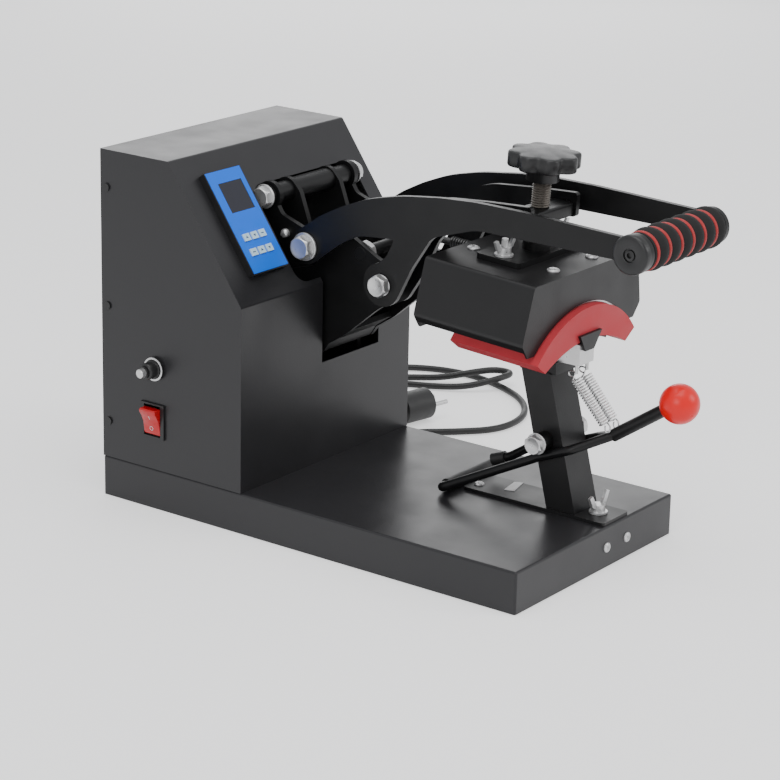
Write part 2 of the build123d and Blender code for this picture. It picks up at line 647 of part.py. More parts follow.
links = pair(link)

j2_out = HANDLE_OUT + FACE_GAP
j2_bolt = disc(J2, BOLT_R, LINK_IN - 7.5, j2_out + 0.5)
j2_bolt = j2_bolt + disc(J2, WASHER_R, j2_out, j2_out + WASHER_T)
j2_bolt = j2_bolt + hexagon(J2, BOLT_HEX, j2_out + WASHER_T, j2_out + WASHER_T + BOLT_HEAD_T)
j2_nut = hexagon(J2, BOLT_HEX, LINK_IN - 7.5, LINK_IN) - disc(J2, BOLT_R + FIT_GAP, 0, LINK_IN + 1)
stop_bolt = disc(STOP, STOP_R, LINK_IN - 5.5, LINK_OUT + 0.5)
stop_bolt = stop_bolt + disc(STOP, STOP_HEAD_R, LINK_OUT, LINK_OUT + 5.0)
stop_nut = hexagon(STOP, 10.0, LINK_IN - 5.5, LINK_IN) - disc(STOP, STOP_R + FIT_GAP, 0, LINK_IN + 1)
link_bolts = pair(j2_bolt) + pair(j2_nut) + pair(stop_bolt) + pair(stop_nut)

# ---------------------------------------------------------------- the heater
cover_out = [
    (-COVER_TOP, 0),
    (COVER_TOP, 0),
    (COVER_BEND, COVER_BEND_W),
    (COVER_LIP, COVER_LIP_W),
    (-COVER_LIP, COVER_LIP_W),
    (-COVER_BEND, COVER_BEND_W),
]
cover_in = [
    (-COVER_TOP + SHEET, -SHEET),
    (COVER_TOP - SHEET, -SHEET),
    (COVER_BEND - SHEET, COVER_BEND_W),
    (COVER_LIP - SHEET, COVER_LIP_W - 5),
    (-COVER_LIP + SHEET, COVER_LIP_W - 5),
    (-COVER_BEND + SHEET, COVER_BEND_W),
]
platen_in = ARCH_R + PLATEN_GAP
platen_out = platen_in + PLATEN_T


def arch(r_in, r_out, half_angle, v0, v1):
    """Curved plate about the arch's axis, in the head's own frame."""
    reach = 2 * r_out
    a = math.radians(half_angle)
    wedge = Polygon((0, 0), (reach * math.sin(a), reach * math.cos(a)), (-reach * math.sin(a), reach * math.cos(a)), align=None)
    face = (Circle(r_out) - Circle(r_in)) & wedge
    plane = Plane(origin=(0, v1, ARCH_W), x_dir=(1, 0, 0), z_dir=(0, -1, 0))
    return extrude(plane * face, amount=v1 - v0)


def arch_bar(r, v0, v1):
    """Round bar about the arch's axis."""
    return Pos(0, v0, ARCH_W) * Rot(-90, 0, 0) * Cylinder(r, v1 - v0, align=(Align.CENTER, Align.CENTER, Align.MIN))


cover = xz_slab(cover_out, 0, COVER_L, [4, 4, 5, 1.5, 1.5, 5])
cover = cover - xz_slab(cover_in, SHEET, COVER_L - SHEET)
ARCH_EDGE = 1.4
WALL_GAP = 0.2
cover = cover - arch_bar(platen_in + ARCH_EDGE, -1, COVER_L + 1)
PLATEN_HALF = 46.0
platen_v = SHEET + WALL_GAP
platen = arch(platen_in, platen_out, PLATEN_HALF, platen_v, COVER_L - platen_v)
heater_r = platen_out + 0.05
element = arch(heater_r, heater_r + HEATER_T, 36.0, 5.0, COVER_L - 5.0)

# bracket on the cover's top, held by two studs with wing nuts
BRK_HALF = 50.0
BRK_V0 = 36.0
BRK_V1 = 80.0
BRK_T = 5.0
bracket = box(-BRK_HALF, BRK_HALF, BRK_V0, BRK_V1, 0, BRK_T)
bracket = fillet(bracket.edges().filter_by(Axis.Z), 4.0)
WING_X = 40.0
WING_V = 58.0
STUD_R = 3.0
COLLAR_R = 12.0
bracket = bracket + Pos(0, SCREW_V, BRK_T) * (Cylinder(COLLAR_R, 7, align=(Align.CENTER, Align.CENTER, Align.MIN)))
bracket = bracket - pin(0, SCREW_V, -1, 6.0 + RUN_GAP, 20)
cover = cover - pin(0, SCREW_V, -SHEET - 1, 9.0, SHEET + 2)
TIE_X = 20.0
ties = []
for tx in (-TIE_X, TIE_X):
    cover = cover - pin(tx, SCREW_V, -SHEET - 1, STUD_R + FIT_GAP, SHEET + 2)
    bracket = bracket + pin(tx, SCREW_V, -platen_out, STUD_R, platen_out)
trim = arch_bar(platen_out + HEATER_T + 0.2, -1, COVER_L + 1)
bracket = bracket - trim
for wx in (-WING_X, WING_X):
    cover = cover - pin(wx, WING_V, -SHEET - 1, STUD_R + FIT_GAP, SHEET + 2)
    bracket = bracket - pin(wx, WING_V, -1, STUD_R + FIT_GAP, BRK_T + 2)

cover_screw_at = ((-29.0, 15.5), (29.0, 15.5), (-29.0, 96.0), (29.0, 96.0))
cover_screws = []
for csx, csv in cover_screw_at:
    cover = cover - pin(csx, csv, -SHEET - 1, 2.0 + FIT_GAP, SHEET + 2)
    piece = pin(csx, csv, -6.0, 2.0, 6.2) + pin(csx, csv, 0, 5.5, 2.2)
    cover_screws.append(head(piece))
for wx in (-WING_X, WING_X):
    stud_piece = pin(wx, WING_V, -4.0, STUD_R, BRK_T + 15.0)
    stud_piece = stud_piece + pin(wx, WING_V, -4.0, 6.0, 4.0 - SHEET)
    cover_screws.append(head(stud_piece))


def wing_nut(x, v, z, r):
    """Wing nut on an upright stud of radius r."""
    nut = pin(x, v, z, 8.0, 1.6) + pin(x, v, z + 1.6, 6.0, 6.0)
    wing = [(4.0, z + 3.0), (11.0, z + 6.0), (15.5, z + 14.0), (11.5, z + 15.0), (7.5, z + 9.0), (4.0, z + 7.4)]
    for side in (-1, 1):
        points = [(x + side * px, pz) for px, pz in wing]
        nut = nut + xz_slab(points, v - 1.2, v + 1.2)
    return nut - pin(x, v, z - 1, r + RUN_GAP, 30)


wing_left = wing_nut(-WING_X, WING_V, BRK_T + 0.3, STUD_R)
wing_right = wing_nut(WING_X, WING_V, BRK_T + 0.3, STUD_R)

# pressure screw: turns in the bracket, runs through the cross block
block_mid_w = (BLOCK[2] + BLOCK[3]) / 2 - HEAD_Z
SCREW_TOP = 92.0
screw = pin(0, SCREW_V, BRK_T + 7.3, ROD_R, SCREW_TOP - BRK_T - 7.3)
screw = screw + pin(0, SCREW_V, -2.0, 6.0, BRK_T + 10.0)
screw = screw + pin(0, SCREW_V, -4.5, 8.6, 4.2)
head_bore = head(pin(0, SCREW_V, 10, ROD_R + 0.1, 60))
block = block - head_bore

KNOB_BOTTOM = 64.0
HUB_T = 11.0
RIM_T = 13.0
DOME_T = 5.0
KNOB_WAVE = 3.2
rim_points = []
for i in range(KNOB_LOBES * 8):
    a = 2 * math.pi * i / (KNOB_LOBES * 8)
    r = KNOB_R - KNOB_WAVE * (0.5 - 0.5 * math.cos(KNOB_LOBES * a)) ** 1.6 * 1.5
    rim_points.append((r * math.cos(a), r * math.sin(a)))
rim_face = make_face(Spline(*rim_points, periodic=True))
knob = Pos(0, SCREW_V, KNOB_BOTTOM + HUB_T) * extrude(rim_face, amount=RIM_T)
knob = knob + pin(0, SCREW_V, KNOB_BOTTOM, 14.0, HUB_T)
dome = Pos(0, SCREW_V, KNOB_BOTTOM + HUB_T + RIM_T) * Cone(24.0, 12.0, DOME_T, align=(Align.CENTER, Align.CENTER, Align.MIN))
knob = knob + dome
knob = knob - pin(0, SCREW_V, KNOB_BOTTOM - 1, ROD_R + FIT_GAP, SCREW_TOP - KNOB_BOTTOM + 1.05)

# heater cable and its guard, from the cover's rear into the housing's slot
GUARD_AT = (-4.0, 104.0)
guard_a = (GUARD_AT[0], COVER_L - 2.0, -9.0)
guard_b = (GUARD_AT[0], COVER_L + 26.0, -9.0)
CABLE_R = 3.0
GUARD_R = 5.0
cover = cover - Pos(*guard_a) * Rot(-90, 0, 0) * Cylinder(GUARD_R + FIT_GAP, 20, align=(Align.CENTER, Align.CENTER, Align.CENTER))
guard = rod(guard_a, guard_b, GUARD_R) - rod((guard_a[0], guard_a[1] - 1, guard_a[2]), (guard_b[0], guard_b[1] + 1, guard_b[2]), CABLE_R + FIT_GAP)
tilt = math.radians(HEAD_PITCH)


def head_point(v, w):
    """Y and Z of a point given in the head's own frame."""
    return (HEAD_Y + v * math.cos(tilt) - w * math.sin(tilt), HEAD_Z + v * math.sin(tilt) + w * math.cos(tilt))


cable_in = head_point(COVER_L - 8.0, guard_a[2])
cable_out = head_point(COVER_L + 46.0, guard_a[2])
cable_points = [
    (GUARD_AT[0], cable_in[0], cable_in[1]),
    (GUARD_AT[0], cable_out[0], cable_out[1]),
    (-6.0, 224.0, 236.0),
    (-4.0, 252.0, 204.0),
    (0.0, 280.0, 178.0),
]
cable_mid = bent_rod(cable_points, bend_radii(cable_points), CABLE_R)

# ------------------------------------------------------------- lower platen
pad_out_z = ARCH_W + math.sqrt(ARCH_R ** 2 - PAD_END ** 2)
pad_top = ARCH_W + ARCH_R
pad_in_c = pad_top - PAD_T - PAD_IN_R
pad_in_z = pad_in_c + math.sqrt(PAD_IN_R ** 2 - PAD_IN_END ** 2)
pad_edge = ThreePointArc((-PAD_END, pad_out_z), (0, pad_top), (PAD_END, pad_out_z))
pad_inner = ThreePointArc((PAD_IN_END, pad_in_z), (0, pad_in_c + PAD_IN_R), (-PAD_IN_END, pad_in_z))
pad_right = Line((PAD_END, pad_out_z), (PAD_IN_END, pad_in_z))
pad_left = Line((-PAD_IN_END, pad_in_z), (-PAD_END, pad_out_z))
pad_face = make_face([pad_edge, pad_right, pad_inner, pad_left])
pad_plane = Plane(origin=(0, PAD_V1, 0), x_dir=(1, 0, 0), z_dir=(0, -1, 0))
pad = extrude(pad_plane * pad_face, amount=PAD_V1 - PAD_V0)

PLATE_UNDER = 3.0
under_r = PAD_IN_R - 0.05
PLATE_ANGLE = 22.0
a = math.radians(PLATE_ANGLE)
reach = 2 * PAD_IN_R
under_wedge = Polygon((0, 0), (reach * math.sin(a), reach * math.cos(a)), (-reach * math.sin(a), reach * math.cos(a)), align=None)
under_face = (Circle(under_r) - Circle(under_r - PLATE_UNDER)) & under_wedge
PLATE_BACK = 10.0
under_plane = Plane(origin=(0, PAD_V1 - 2, pad_in_c), x_dir=(1, 0, 0), z_dir=(0, -1, 0))
platen_plate = extrude(under_plane * under_face, amount=PAD_V1 - 2 - PAD_V0 - PLATE_BACK)
# a tongue runs forward under the pad and turns up in front of it as a clip
CLIP_TOP_HALF = 16.4
CLIP_LOW_HALF = 6.6
CLIP_TOP = -54.3
CLIP_LOW = -69.0
CLIP_T = 2.8
clip_v = PAD_V0 - 0.3
tongue_top = pad_in_c + math.sqrt(under_r ** 2 - CLIP_LOW_HALF ** 2)
tongue_low = pad_in_c + under_r - PLATE_UNDER
tongue = box(-CLIP_LOW_HALF, CLIP_LOW_HALF, clip_v - 1.0, PAD_V0 + PLATE_BACK + 1.0, tongue_low, tongue_top)
clip_side = [(-CLIP_LOW_HALF, CLIP_LOW), (CLIP_LOW_HALF, CLIP_LOW), (CLIP_TOP_HALF, CLIP_TOP), (-CLIP_TOP_HALF, CLIP_TOP)]
clip = xz_slab(clip_side, clip_v - CLIP_T, clip_v)
platen_plate = head(platen_plate + tongue + clip)

# zinc bracket between the post's top and the plate, with its hooks
plate_z = HEAD_Z + pad_in_c + under_r - PLATE_UNDER
ZINC_HALF = 11.0
ZINC_Y0 = 38.2
ZINC_Y1 = 104.0
ZINC_Z = 168.0
zinc = box(-ZINC_HALF, ZINC_HALF, ZINC_Y0, ZINC_Y1, ZINC_Z, plate_z + 12)
above_r = PAD_IN_R + 60
under_plate = under_r - PLATE_UNDER
above = Cylinder(above_r, 200, align=(Align.CENTER, Align.CENTER, Align.MIN))
above = above - Cylinder(under_plate, 200, align=(Align.CENTER, Align.CENTER, Align.MIN))
above = head(Pos(0, -40, pad_in_c) * Rot(-90, 0, 0) * above)
zinc = zinc - above - platen_plate
HOOK_X = 8.0
HOOK_Y = 42.5
HOOK_Z = 160.0
HOOK_R = 1.5
for side in (-1, 1):
    zinc = zinc + pin(side * HOOK_X, HOOK_Y, HOOK_Z, HOOK_R, ZINC_Z - HOOK_Z + 0.5)

# post: square tube leaning to the rear on its foot plate
lean = math.tan(math.radians(POST_LEAN))
half_d = POST_D / math.cos(math.radians(POST_LEAN)) / 2
post_dy = (POST_TOP - foot_z) * lean
post_y = POST_Y + FOOT_T * lean
post_side = [
    (post_y - half_d, foot_z),
    (post_y + half_d, foot_z),
    (post_y + half_d + post_dy, POST_TOP),
    (post_y - half_d + post_dy, POST_TOP),
]
TUBE_T = 2.0
wall = TUBE_T / math.cos(math.radians(POST_LEAN))
bore_side = [
    (post_y - half_d + wall, foot_z),
    (post_y + half_d - wall, foot_z),
    (post_y + half_d - wall + post_dy, POST_TOP),
    (post_y - half_d + wall + post_dy, POST_TOP),
]
post = yz_slab(post_side, -POST_HALF, POST_HALF)
post = post - yz_slab(bore_side, -POST_HALF + TUBE_T, POST_HALF - TUBE_T)
foot = box(FOOT_X0 - MECH_X, FOOT_X1 - MECH_X, FOOT_Y0, FOOT_Y1, BASE_H, foot_z)
foot = fillet(foot.edges().filter_by(Axis.Z), 3.0)
PEDESTAL_HALF = 16.0
pedestal = box(-PEDESTAL_HALF, PEDESTAL_HALF, 58.0, 94.0, POST_TOP - 1.0, ZINC_Z)
post = post + foot + pedestal
post = post - disc(LEVER, BOLT_R + FIT_GAP, -POST_HALF - 1, POST_HALF + 1)
post = post - pin(FOOT_SCREW[0] - MECH_X, FOOT_SCREW[1], BASE_H - 1, 2.5 + FIT_GAP, FOOT_T + 2)
post = post - pin(WING_SCREW[0] - MECH_X, WING_SCREW[1], BASE_H - 1, 3.0 + FIT_GAP, FOOT_T + 2)

wing_z = foot_z + 0.3
foot_wing = pin(0, WING_SCREW[1], BASE_H - 10, 3.0, wing_z - BASE_H + 12)
foot_wing = foot_wing + pin(0, WING_SCREW[1], wing_z, 8.0, 1.6) + pin(0, WING_SCREW[1], wing_z + 1.6, 6.0, 6.0)
for side in (-1, 1):
    points = [(4.0, 4.0), (10.5, 7.0), (15.0, 16.0), (11.0, 17.5), (7.0, 11.0), (4.0, 7.4)]
    points = [(side * px, wing_z + pz) for px, pz in points]
    foot_wing = foot_wing + xz_slab(points, WING_SCREW[1] - 1.2, WING_SCREW[1] + 1.2)

# --------------------------------------------------------------------- lever
SIDE_X = 24.5
BUSH_OUT = 30.0
near_points = [
    (0.0, 6.0, 112.4),
    (-SIDE_X, 36.0, 98.0),
    (-SIDE_X, 68.4, 84.5),
    (-44.0, 155.0, CROSS_Z),
    (36.0, 155.0, CROSS_Z),
]
far_points = [
    (0.0, 6.0, 112.4),
    (SIDE_X, 36.0, 98.0),
    (SIDE_X, 68.4, 84.5),
    (SIDE_X, 104.8, 74.0),
    (23.0, 126.0, 60.0),
    (20.0, 143.0, 54.0),
]
near_rod = bent_rod(near_points, [12, 18, 7, 7][:3], ROD)
far_rod = bent_rod(far_points, [12, 40, 30, 20], ROD)
stem_low = (0, 8.5, 111.0)
stem_high = (0, -46.0, 148.4)
stem = rod(stem_low, stem_high, THICK_ROD)
lever_arm = near_rod + far_rod + stem
bushes = pair(ring(LEVER, 8.0, BOLT_R + RUN_GAP, POST_HALF + 0.2, BUSH_OUT))
tabs = pair(yz_slab([(58.0, 96.0), (71.5, 96.0), (71.0, 85.0), (59.0, 88.0)], SIDE_X - 3.0, SIDE_X + 3.0) - disc(LEVER, 7.0, 0, 40))
lever_arm = lever_arm + bushes[0] + bushes[1] + tabs[0] + tabs[1]
ball = Pos(0, BALL[0], BALL[1]) * Sphere(BALL_R)
ball = ball - rod(stem_low, stem_high, THICK_ROD + FIT_GAP)
ball = ball - rod(stem_high, (0, -46.7, 148.88), THICK_ROD + FIT_GAP)
cross_sleeve = ring((155.0, CROSS_Z), 5.4, ROD + FIT_GAP, -32.0, 34.0)
sleeve_a = Vector(*far_points[4])
sleeve_b = Vector(*far_points[5])
sleeve_dir = (sleeve_b - sleeve_a).normalized()
s0 = sleeve_a + sleeve_dir * 5.0
s1 = sleeve_b + sleeve_dir * -0.3
far_sleeve = rod(tuple(s0), tuple(s1), 5.6) - rod(tuple(s0 - sleeve_dir), tuple(s1 + sleeve_dir), ROD + FIT_GAP)

pivot_out = BUSH_OUT + FACE_GAP
lever_bolt = disc(LEVER, BOLT_R, -pivot_out - 0.5, pivot_out + 7.5)
lever_bolt = lever_bolt + hexagon(LEVER, BOLT_HEX, -pivot_out - 7.0, -pivot_out)
lever_nut = hexagon(LEVER, BOLT_HEX, pivot_out, pivot_out + 7.0) - disc(LEVER, BOLT_R + FIT_GAP, 0, 60)

SPRING_R = 4.2
SPRING_LOW = (6.5, 14.5, 120.5)
springs = []
for side in (-1, 1):
    top = (side * HOOK_X, HOOK_Y - 1.0, HOOK_Z - 1.5)
    low = (side * SPRING_LOW[0], SPRING_LOW[1], SPRING_LOW[2])
    springs.append(rod(top, low, SPRING_R))

# ------------------------------------------------------------- cord and plug
FLOOR = CORD_R + 0.2
GLAND_END = BASE_L + 28.0
HUMP = FLOOR + 2 * CORD_R + 3.1
PLUG_R = 15.3
PLUG_L = 34.0
BOOT_L = 26.0
PLUG_AT = (238.0, 350.0, PLUG_R + 0.1)
PLUG_DIR = (0.98, -0.199, 0.0)
PIN_R = 2.4
PIN_GAP = 0.02
PIN_L = 19.0
PIN_SPACE = 19.0

gland = Pos(GLAND[0], BASE_L - 8, GLAND[1]) * Rot(-90, 0, 0) * Cylinder(8, 8.5, align=(Align.CENTER, Align.CENTER, Align.MIN))
gland = gland + Pos(GLAND[0], BASE_L, GLAND[1]) * Rot(-90, 0, 0) * Cylinder(11, 3, align=(Align.CENTER, Align.CENTER, Align.MIN))
gland = gland + Pos(GLAND[0], BASE_L + 3, GLAND[1]) * Rot(-90, 0, 0) * Cone(8, 4.6, GLAND_END - BASE_L - 3, align=(Align.CENTER, Align.CENTER, Align.MIN))

plug_v = Vector(*PLUG_DIR).normalized()
plug_front = Vector(*PLUG_AT)
plug_side = Vector(-plug_v.Y, plug_v.X, 0)
plug_rear = plug_front - plug_v * PLUG_L
boot_end = plug_rear - plug_v * BOOT_L
plug_plane = Plane(origin=plug_rear, z_dir=plug_v)
plug_body = plug_plane.location * Cylinder(PLUG_R, PLUG_L, align=(Align.CENTER, Align.CENTER, Align.MIN))
boot_plane = Plane(origin=boot_end, z_dir=plug_v)
boot = boot_plane.location * Cone(4.6, 8.0, BOOT_L, align=(Align.CENTER, Align.CENTER, Align.MIN))
plug_body = plug_body + boot
plug_pins = []
for side in (-1, 1):
    root = plug_front + plug_side * (side * PIN_SPACE / 2)
    tip = root + plug_v * PIN_L
    inner = root - plug_v * 6.0
    plug_pins.append(rod(tuple(inner), tuple(tip), PIN_R))
    plug_body = plug_body - rod(tuple(inner), tuple(tip), PIN_R + PIN_GAP)

# the cord's line: X from the base's centre, Y from its front edge
CORD_POINTS = [
    (GLAND[0], GLAND_END, GLAND[1]),
    (GLAND[0], 494.0, GLAND[1]),
    (68.0, 514.0, 42.0),
    (90.0, 527.0, 19.0),
    (124.0, 532.0, 5.0),
    (172.0, 533.0, FLOOR),
    (228.0, 526.0, FLOOR),
    (286.0, 508.0, FLOOR),
    (334.0, 476.0, FLOOR),
    (364.0, 434.0, FLOOR),
    (372.0, 390.0, FLOOR),
    (360.0, 344.0, FLOOR),
    (336.0, 300.0, FLOOR),
    (294.0, 270.0, FLOOR),
    (247.0, 268.0, FLOOR),
    (214.0, 296.0, FLOOR),
    (186.0, 327.0, FLOOR),
    (151.0, 345.0, FLOOR),
    (130.0, 380.0, FLOOR),
    (128.0, 430.0, FLOOR),
    (138.0, 478.0, FLOOR),
    (178.0, 499.0, FLOOR),
    (232.0, 492.0, FLOOR),
    (283.0, 471.0, FLOOR),
    (322.0, 436.0, FLOOR),
    (339.0, 402.0, FLOOR + 2.0),
    (357.0, 375.0, HUMP),
    (378.0, 363.0, HUMP),
    (379.0, 342.0, HUMP),
    (354.0, 343.0, HUMP),
    (330.0, 366.0, FLOOR + 2.0),
    (315.0, 396.0, FLOOR),
    (303.0, 426.0, FLOOR),
    (282.0, 448.0, FLOOR),
    (242.0, 455.0, FLOOR),
    (198.0, 442.0, FLOOR),
    (164.0, 414.0, FLOOR),
    (149.0, 388.0, FLOOR + 3.0),
    tuple(boot_end - plug_v * 16.0),
    tuple(boot_end),
]
cord_radii = bend_radii(CORD_POINTS)
cord_path = FilletPolyline(*CORD_POINTS, radius=cord_radii)
cord_face = Plane(origin=cord_path @ 0, z_dir=cord_path % 0) * Circle(CORD_R)
cord = sweep(cord_face, path=cord_path)
print("cord radii", [round(r, 1) for r in cord_radii])
print("cord length", round(cord_path.length), "volume ratio", round(cord.volume / (math.pi * CORD_R ** 2 * cord_path.length), 4))

# --------------------------------------------------------------------- nodes
save("base_tray", tray)
save("base_bottom_cover", under)
save("casing_screws", *casing_screws)
save("base_screws", *front_screws)
save("base_channel", channel)
save("housing_wrap", wrap)
save("housing_sides", left_side, right_side)
save("housing_rear_panel", rear)
save("frame_plates", *[mech(p) for p in frame_plates])
save("frame_spacer_tubes", *[mech(p) for p in spacers])
save("upper_pivot_bolt", mech(upper_bolt))
save("head_pivot_shaft", mech(shaft))
save("head_pivot_bushes", *[mech(p) for p in pair(bush)])
save("controller_bezel", bezel)
save("controller_face", face_plate)
save("display_window", window)
for key_name, key in keys.items():
    save(key_name, key)
save("switch_body", switch_body)
save("switch_rocker", rocker)
save("fuse_body", fuse_body)
save("fuse_cap", fuse_cap)
save("cord_gland", gland)
save("power_cord", cord)
save("plug_body", plug_body)
save("plug_pins", *plug_pins)
save("head_arms", mech(head_arms))
save("head_arm_bolts", *[mech(p) for p in head_bolts])
save("cross_block", mech(block))
save("handle_pivot_spacers", *[mech(p) for p in handle_spacers])
save("handle_arms", *[mech(p) for p in handle_arms])
save("handle_tube", mech(handle_tube), *[mech(p) for p in end_screws])
save("handle_grip", mech(grip))
save("links", *[mech(p) for p in links])
save("link_bolts", *[mech(p) for p in link_bolts])
save("heater_cover", mech(head(cover)))
save("heater_platen", mech(head(platen)))
save("heating_element", mech(head(element)))
save("heater_bracket", mech(head(bracket)))
save("heater_cover_screws", *[mech(p) for p in cover_screws])
save("heater_cable", mech(cable_mid))
save("cable_guard", mech(head(guard)))
save("wing_nut_left", mech(head(wing_left)))
save("wing_nut_right", mech(head(wing_right)))
save("pressure_screw", mech(head(screw)))
save("star_knob", mech(head(knob)))
save("silicone_pad", mech(head(pad)))
save("platen_plate", mech(platen_plate))
save("platen_bracket", mech(zinc))
save("post", mech(post))
save("foot_wing_screw", mech(foot_wing))
save("lever_arm", mech(lever_arm))
save("lever_ball", mech(ball))
save("lever_sleeves", mech(cross_sleeve), mech(far_sleeve))
save("lever_pivot_bolt", mech(lever_bolt), mech(lever_nut))
save("lever_springs", *[mech(p) for p in springs])
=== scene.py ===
# %% [markdown]
# # A cap heat press
# The machine stands on a flat folded-steel base. A steel casing at the back holds the heater's
# controller, and a folding linkage carries a curved heating head down on a red silicone pad.
# The solids of every rigid piece come ready-made from the engineering model. This lesson lays the
# mains lead, makes the pieces that need finer shapes than a solid gives (springs, threads, the
# foam grip, the lobed knob), and then gives every piece its finish.

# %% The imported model
import math

import bmesh
import bpy
import numpy as np
from mathutils import Matrix, Vector


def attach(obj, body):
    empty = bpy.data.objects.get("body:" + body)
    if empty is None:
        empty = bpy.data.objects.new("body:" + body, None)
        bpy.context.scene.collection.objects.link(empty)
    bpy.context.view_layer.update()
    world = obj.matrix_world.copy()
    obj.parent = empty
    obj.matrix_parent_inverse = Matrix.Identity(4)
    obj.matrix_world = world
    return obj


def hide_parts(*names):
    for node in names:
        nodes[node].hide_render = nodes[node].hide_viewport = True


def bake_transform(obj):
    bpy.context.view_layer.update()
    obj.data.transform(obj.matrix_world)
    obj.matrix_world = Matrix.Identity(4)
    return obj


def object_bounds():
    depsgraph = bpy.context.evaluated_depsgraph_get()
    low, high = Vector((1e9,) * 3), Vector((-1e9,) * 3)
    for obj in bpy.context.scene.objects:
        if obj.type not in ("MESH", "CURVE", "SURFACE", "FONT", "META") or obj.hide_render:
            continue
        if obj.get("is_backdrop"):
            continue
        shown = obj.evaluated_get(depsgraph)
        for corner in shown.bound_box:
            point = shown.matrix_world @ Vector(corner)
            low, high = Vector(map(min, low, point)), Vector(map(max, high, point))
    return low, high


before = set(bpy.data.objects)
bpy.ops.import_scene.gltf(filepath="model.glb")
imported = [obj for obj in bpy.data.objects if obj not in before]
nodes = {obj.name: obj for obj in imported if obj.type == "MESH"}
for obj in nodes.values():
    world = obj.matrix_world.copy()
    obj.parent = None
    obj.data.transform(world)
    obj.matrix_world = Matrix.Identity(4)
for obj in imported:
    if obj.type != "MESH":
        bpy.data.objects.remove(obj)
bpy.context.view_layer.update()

# %% [markdown]
# ## Three ways to say where something is
# The plans of this machine measure in millimetres from the front edge of the base, and the
# linkage is drawn about its own middle plane, which lies to the right of the base's middle. The
# heating head is tipped a few degrees, so its parts are placed in the head's own directions. Each
# helper turns such a place into metres in the shared frame.

# %% Places on the plans
MM = 0.001
HALF_BASE = 222.0
MECH_X = 32.0
HEAD_TILT = math.radians(3.49)
HEAD_AT = (40.4, 250.0)


def on_base(x, y, z):
    """Metres in the shared frame of a point x right of the base's middle, y back from its front edge."""
    return np.stack(np.broadcast_arrays(np.asarray(x) * MM, (np.asarray(y) - HALF_BASE) * MM,
                                        np.asarray(z) * MM), axis=-1)


def on_linkage(dx, y, z):
    """The same for a point dx right of the linkage's middle plane."""
    return on_base(np.asarray(dx) + MECH_X, y, z)


def on_head(u, v, w):
    """The same for a point u right, v back and w up in the tipped head's own directions."""
    y = HEAD_AT[0] + np.asarray(v) * math.cos(HEAD_TILT) - np.asarray(w) * math.sin(HEAD_TILT)
    z = HEAD_AT[1] + np.asarray(v) * math.sin(HEAD_TILT) + np.asarray(w) * math.cos(HEAD_TILT)
    return on_linkage(u, y, z)


# %% [markdown]
# ## The camera
# It stands to the left of the machine's front corner, a little above it, with a long lens, so the
# edges stay almost parallel. The direction it looks in is worked out from its turn and tilt.

# %% The camera
CAMERA_AT = (-1.7937, -1.3286, 0.8357)
LOOK_TURN = math.radians(54.506)
LOOK_DOWN = math.radians(17.371)
LOOK_ROLL = math.radians(1.511)
LENS = 124.48

ahead = Vector((math.sin(LOOK_TURN) * math.cos(LOOK_DOWN),
                math.cos(LOOK_TURN) * math.cos(LOOK_DOWN), -math.sin(LOOK_DOWN)))
level = Vector((math.cos(LOOK_TURN), -math.sin(LOOK_TURN), 0))
upright = level.cross(ahead)
right = level * math.cos(LOOK_ROLL) + upright * math.sin(LOOK_ROLL)
up = upright * math.cos(LOOK_ROLL) - level * math.sin(LOOK_ROLL)
camera = bpy.data.objects.new("camera", bpy.data.cameras.new("camera"))
bpy.context.scene.collection.objects.link(camera)
camera.data.lens = LENS
camera.data.shift_x = -0.0552
camera.data.shift_y = -0.0316
camera.data.clip_start = 0.05
camera.data.clip_end = 60
camera.matrix_world = Matrix((right, up, -ahead)).transposed().to_4x4()
camera.location = CAMERA_AT
bpy.context.scene.camera = camera

# %% [markdown]
# ## The mains lead
# A mains lead is a fixed length of something that bends but keeps its thickness. A NURBS spline
# is the natural curve for it: it passes smoothly inside its control points, as a lead pulled
# round them would. It leaves the back through a tapered gland, drops to the table, runs round in
# two loose loops with one fold, and ends in its plug.

# %% The lead's line
LEAD_R = 3.3
LEAD_LOW = 3.5
LEAD_OVER = 13.2
GLAND_END = (60.0, 472.0, 60.0)
PLUG_FRONT = Vector((238.0, 350.0, 15.4))
PLUG_AIM = Vector((0.98, -0.199, 0.0)).normalized()
PLUG_LONG = 34.0
PLUG_BOOT = 26.0
boot_tip = PLUG_FRONT - PLUG_AIM * (PLUG_LONG + PLUG_BOOT)

CORD_POINTS = [
    GLAND_END, (60, 494, 60), (68, 514, 42), (90, 527, 19), (124, 532, 5),
    (172, 533, LEAD_LOW), (228, 526, LEAD_LOW), (286, 508, LEAD_LOW), (334, 476, LEAD_LOW),
    (364, 434, LEAD_LOW), (372, 390, LEAD_LOW), (360, 344, LEAD_LOW), (336, 300, LEAD_LOW),
    (294, 270, LEAD_LOW), (247, 268, LEAD_LOW), (214, 296, LEAD_LOW), (186, 327, LEAD_LOW),
    (151, 345, LEAD_LOW), (130, 380, LEAD_LOW), (128, 430, LEAD_LOW), (138, 478, LEAD_LOW),
    (178, 499, LEAD_LOW), (232, 492, LEAD_LOW), (283, 471, LEAD_LOW), (322, 436, LEAD_LOW),
    (339, 402, 5.5), (357, 375, LEAD_OVER), (378, 363, LEAD_OVER), (379, 342, LEAD_OVER),
    (354, 343, LEAD_OVER), (330, 366, 5.5), (315, 396, LEAD_LOW), (303, 426, LEAD_LOW),
    (282, 448, LEAD_LOW), (242, 455, LEAD_LOW), (198, 442, LEAD_LOW), (164, 414, LEAD_LOW),
    (149, 388, 6.5), tuple(boot_tip - PLUG_AIM * 16), tuple(boot_tip),
]
lead_curve = bpy.data.curves.new("mains_lead", "CURVE")
lead_curve.dimensions = "3D"
lead_curve.bevel_depth = 1.0  # times each point's own radius, so that the curve's box is true
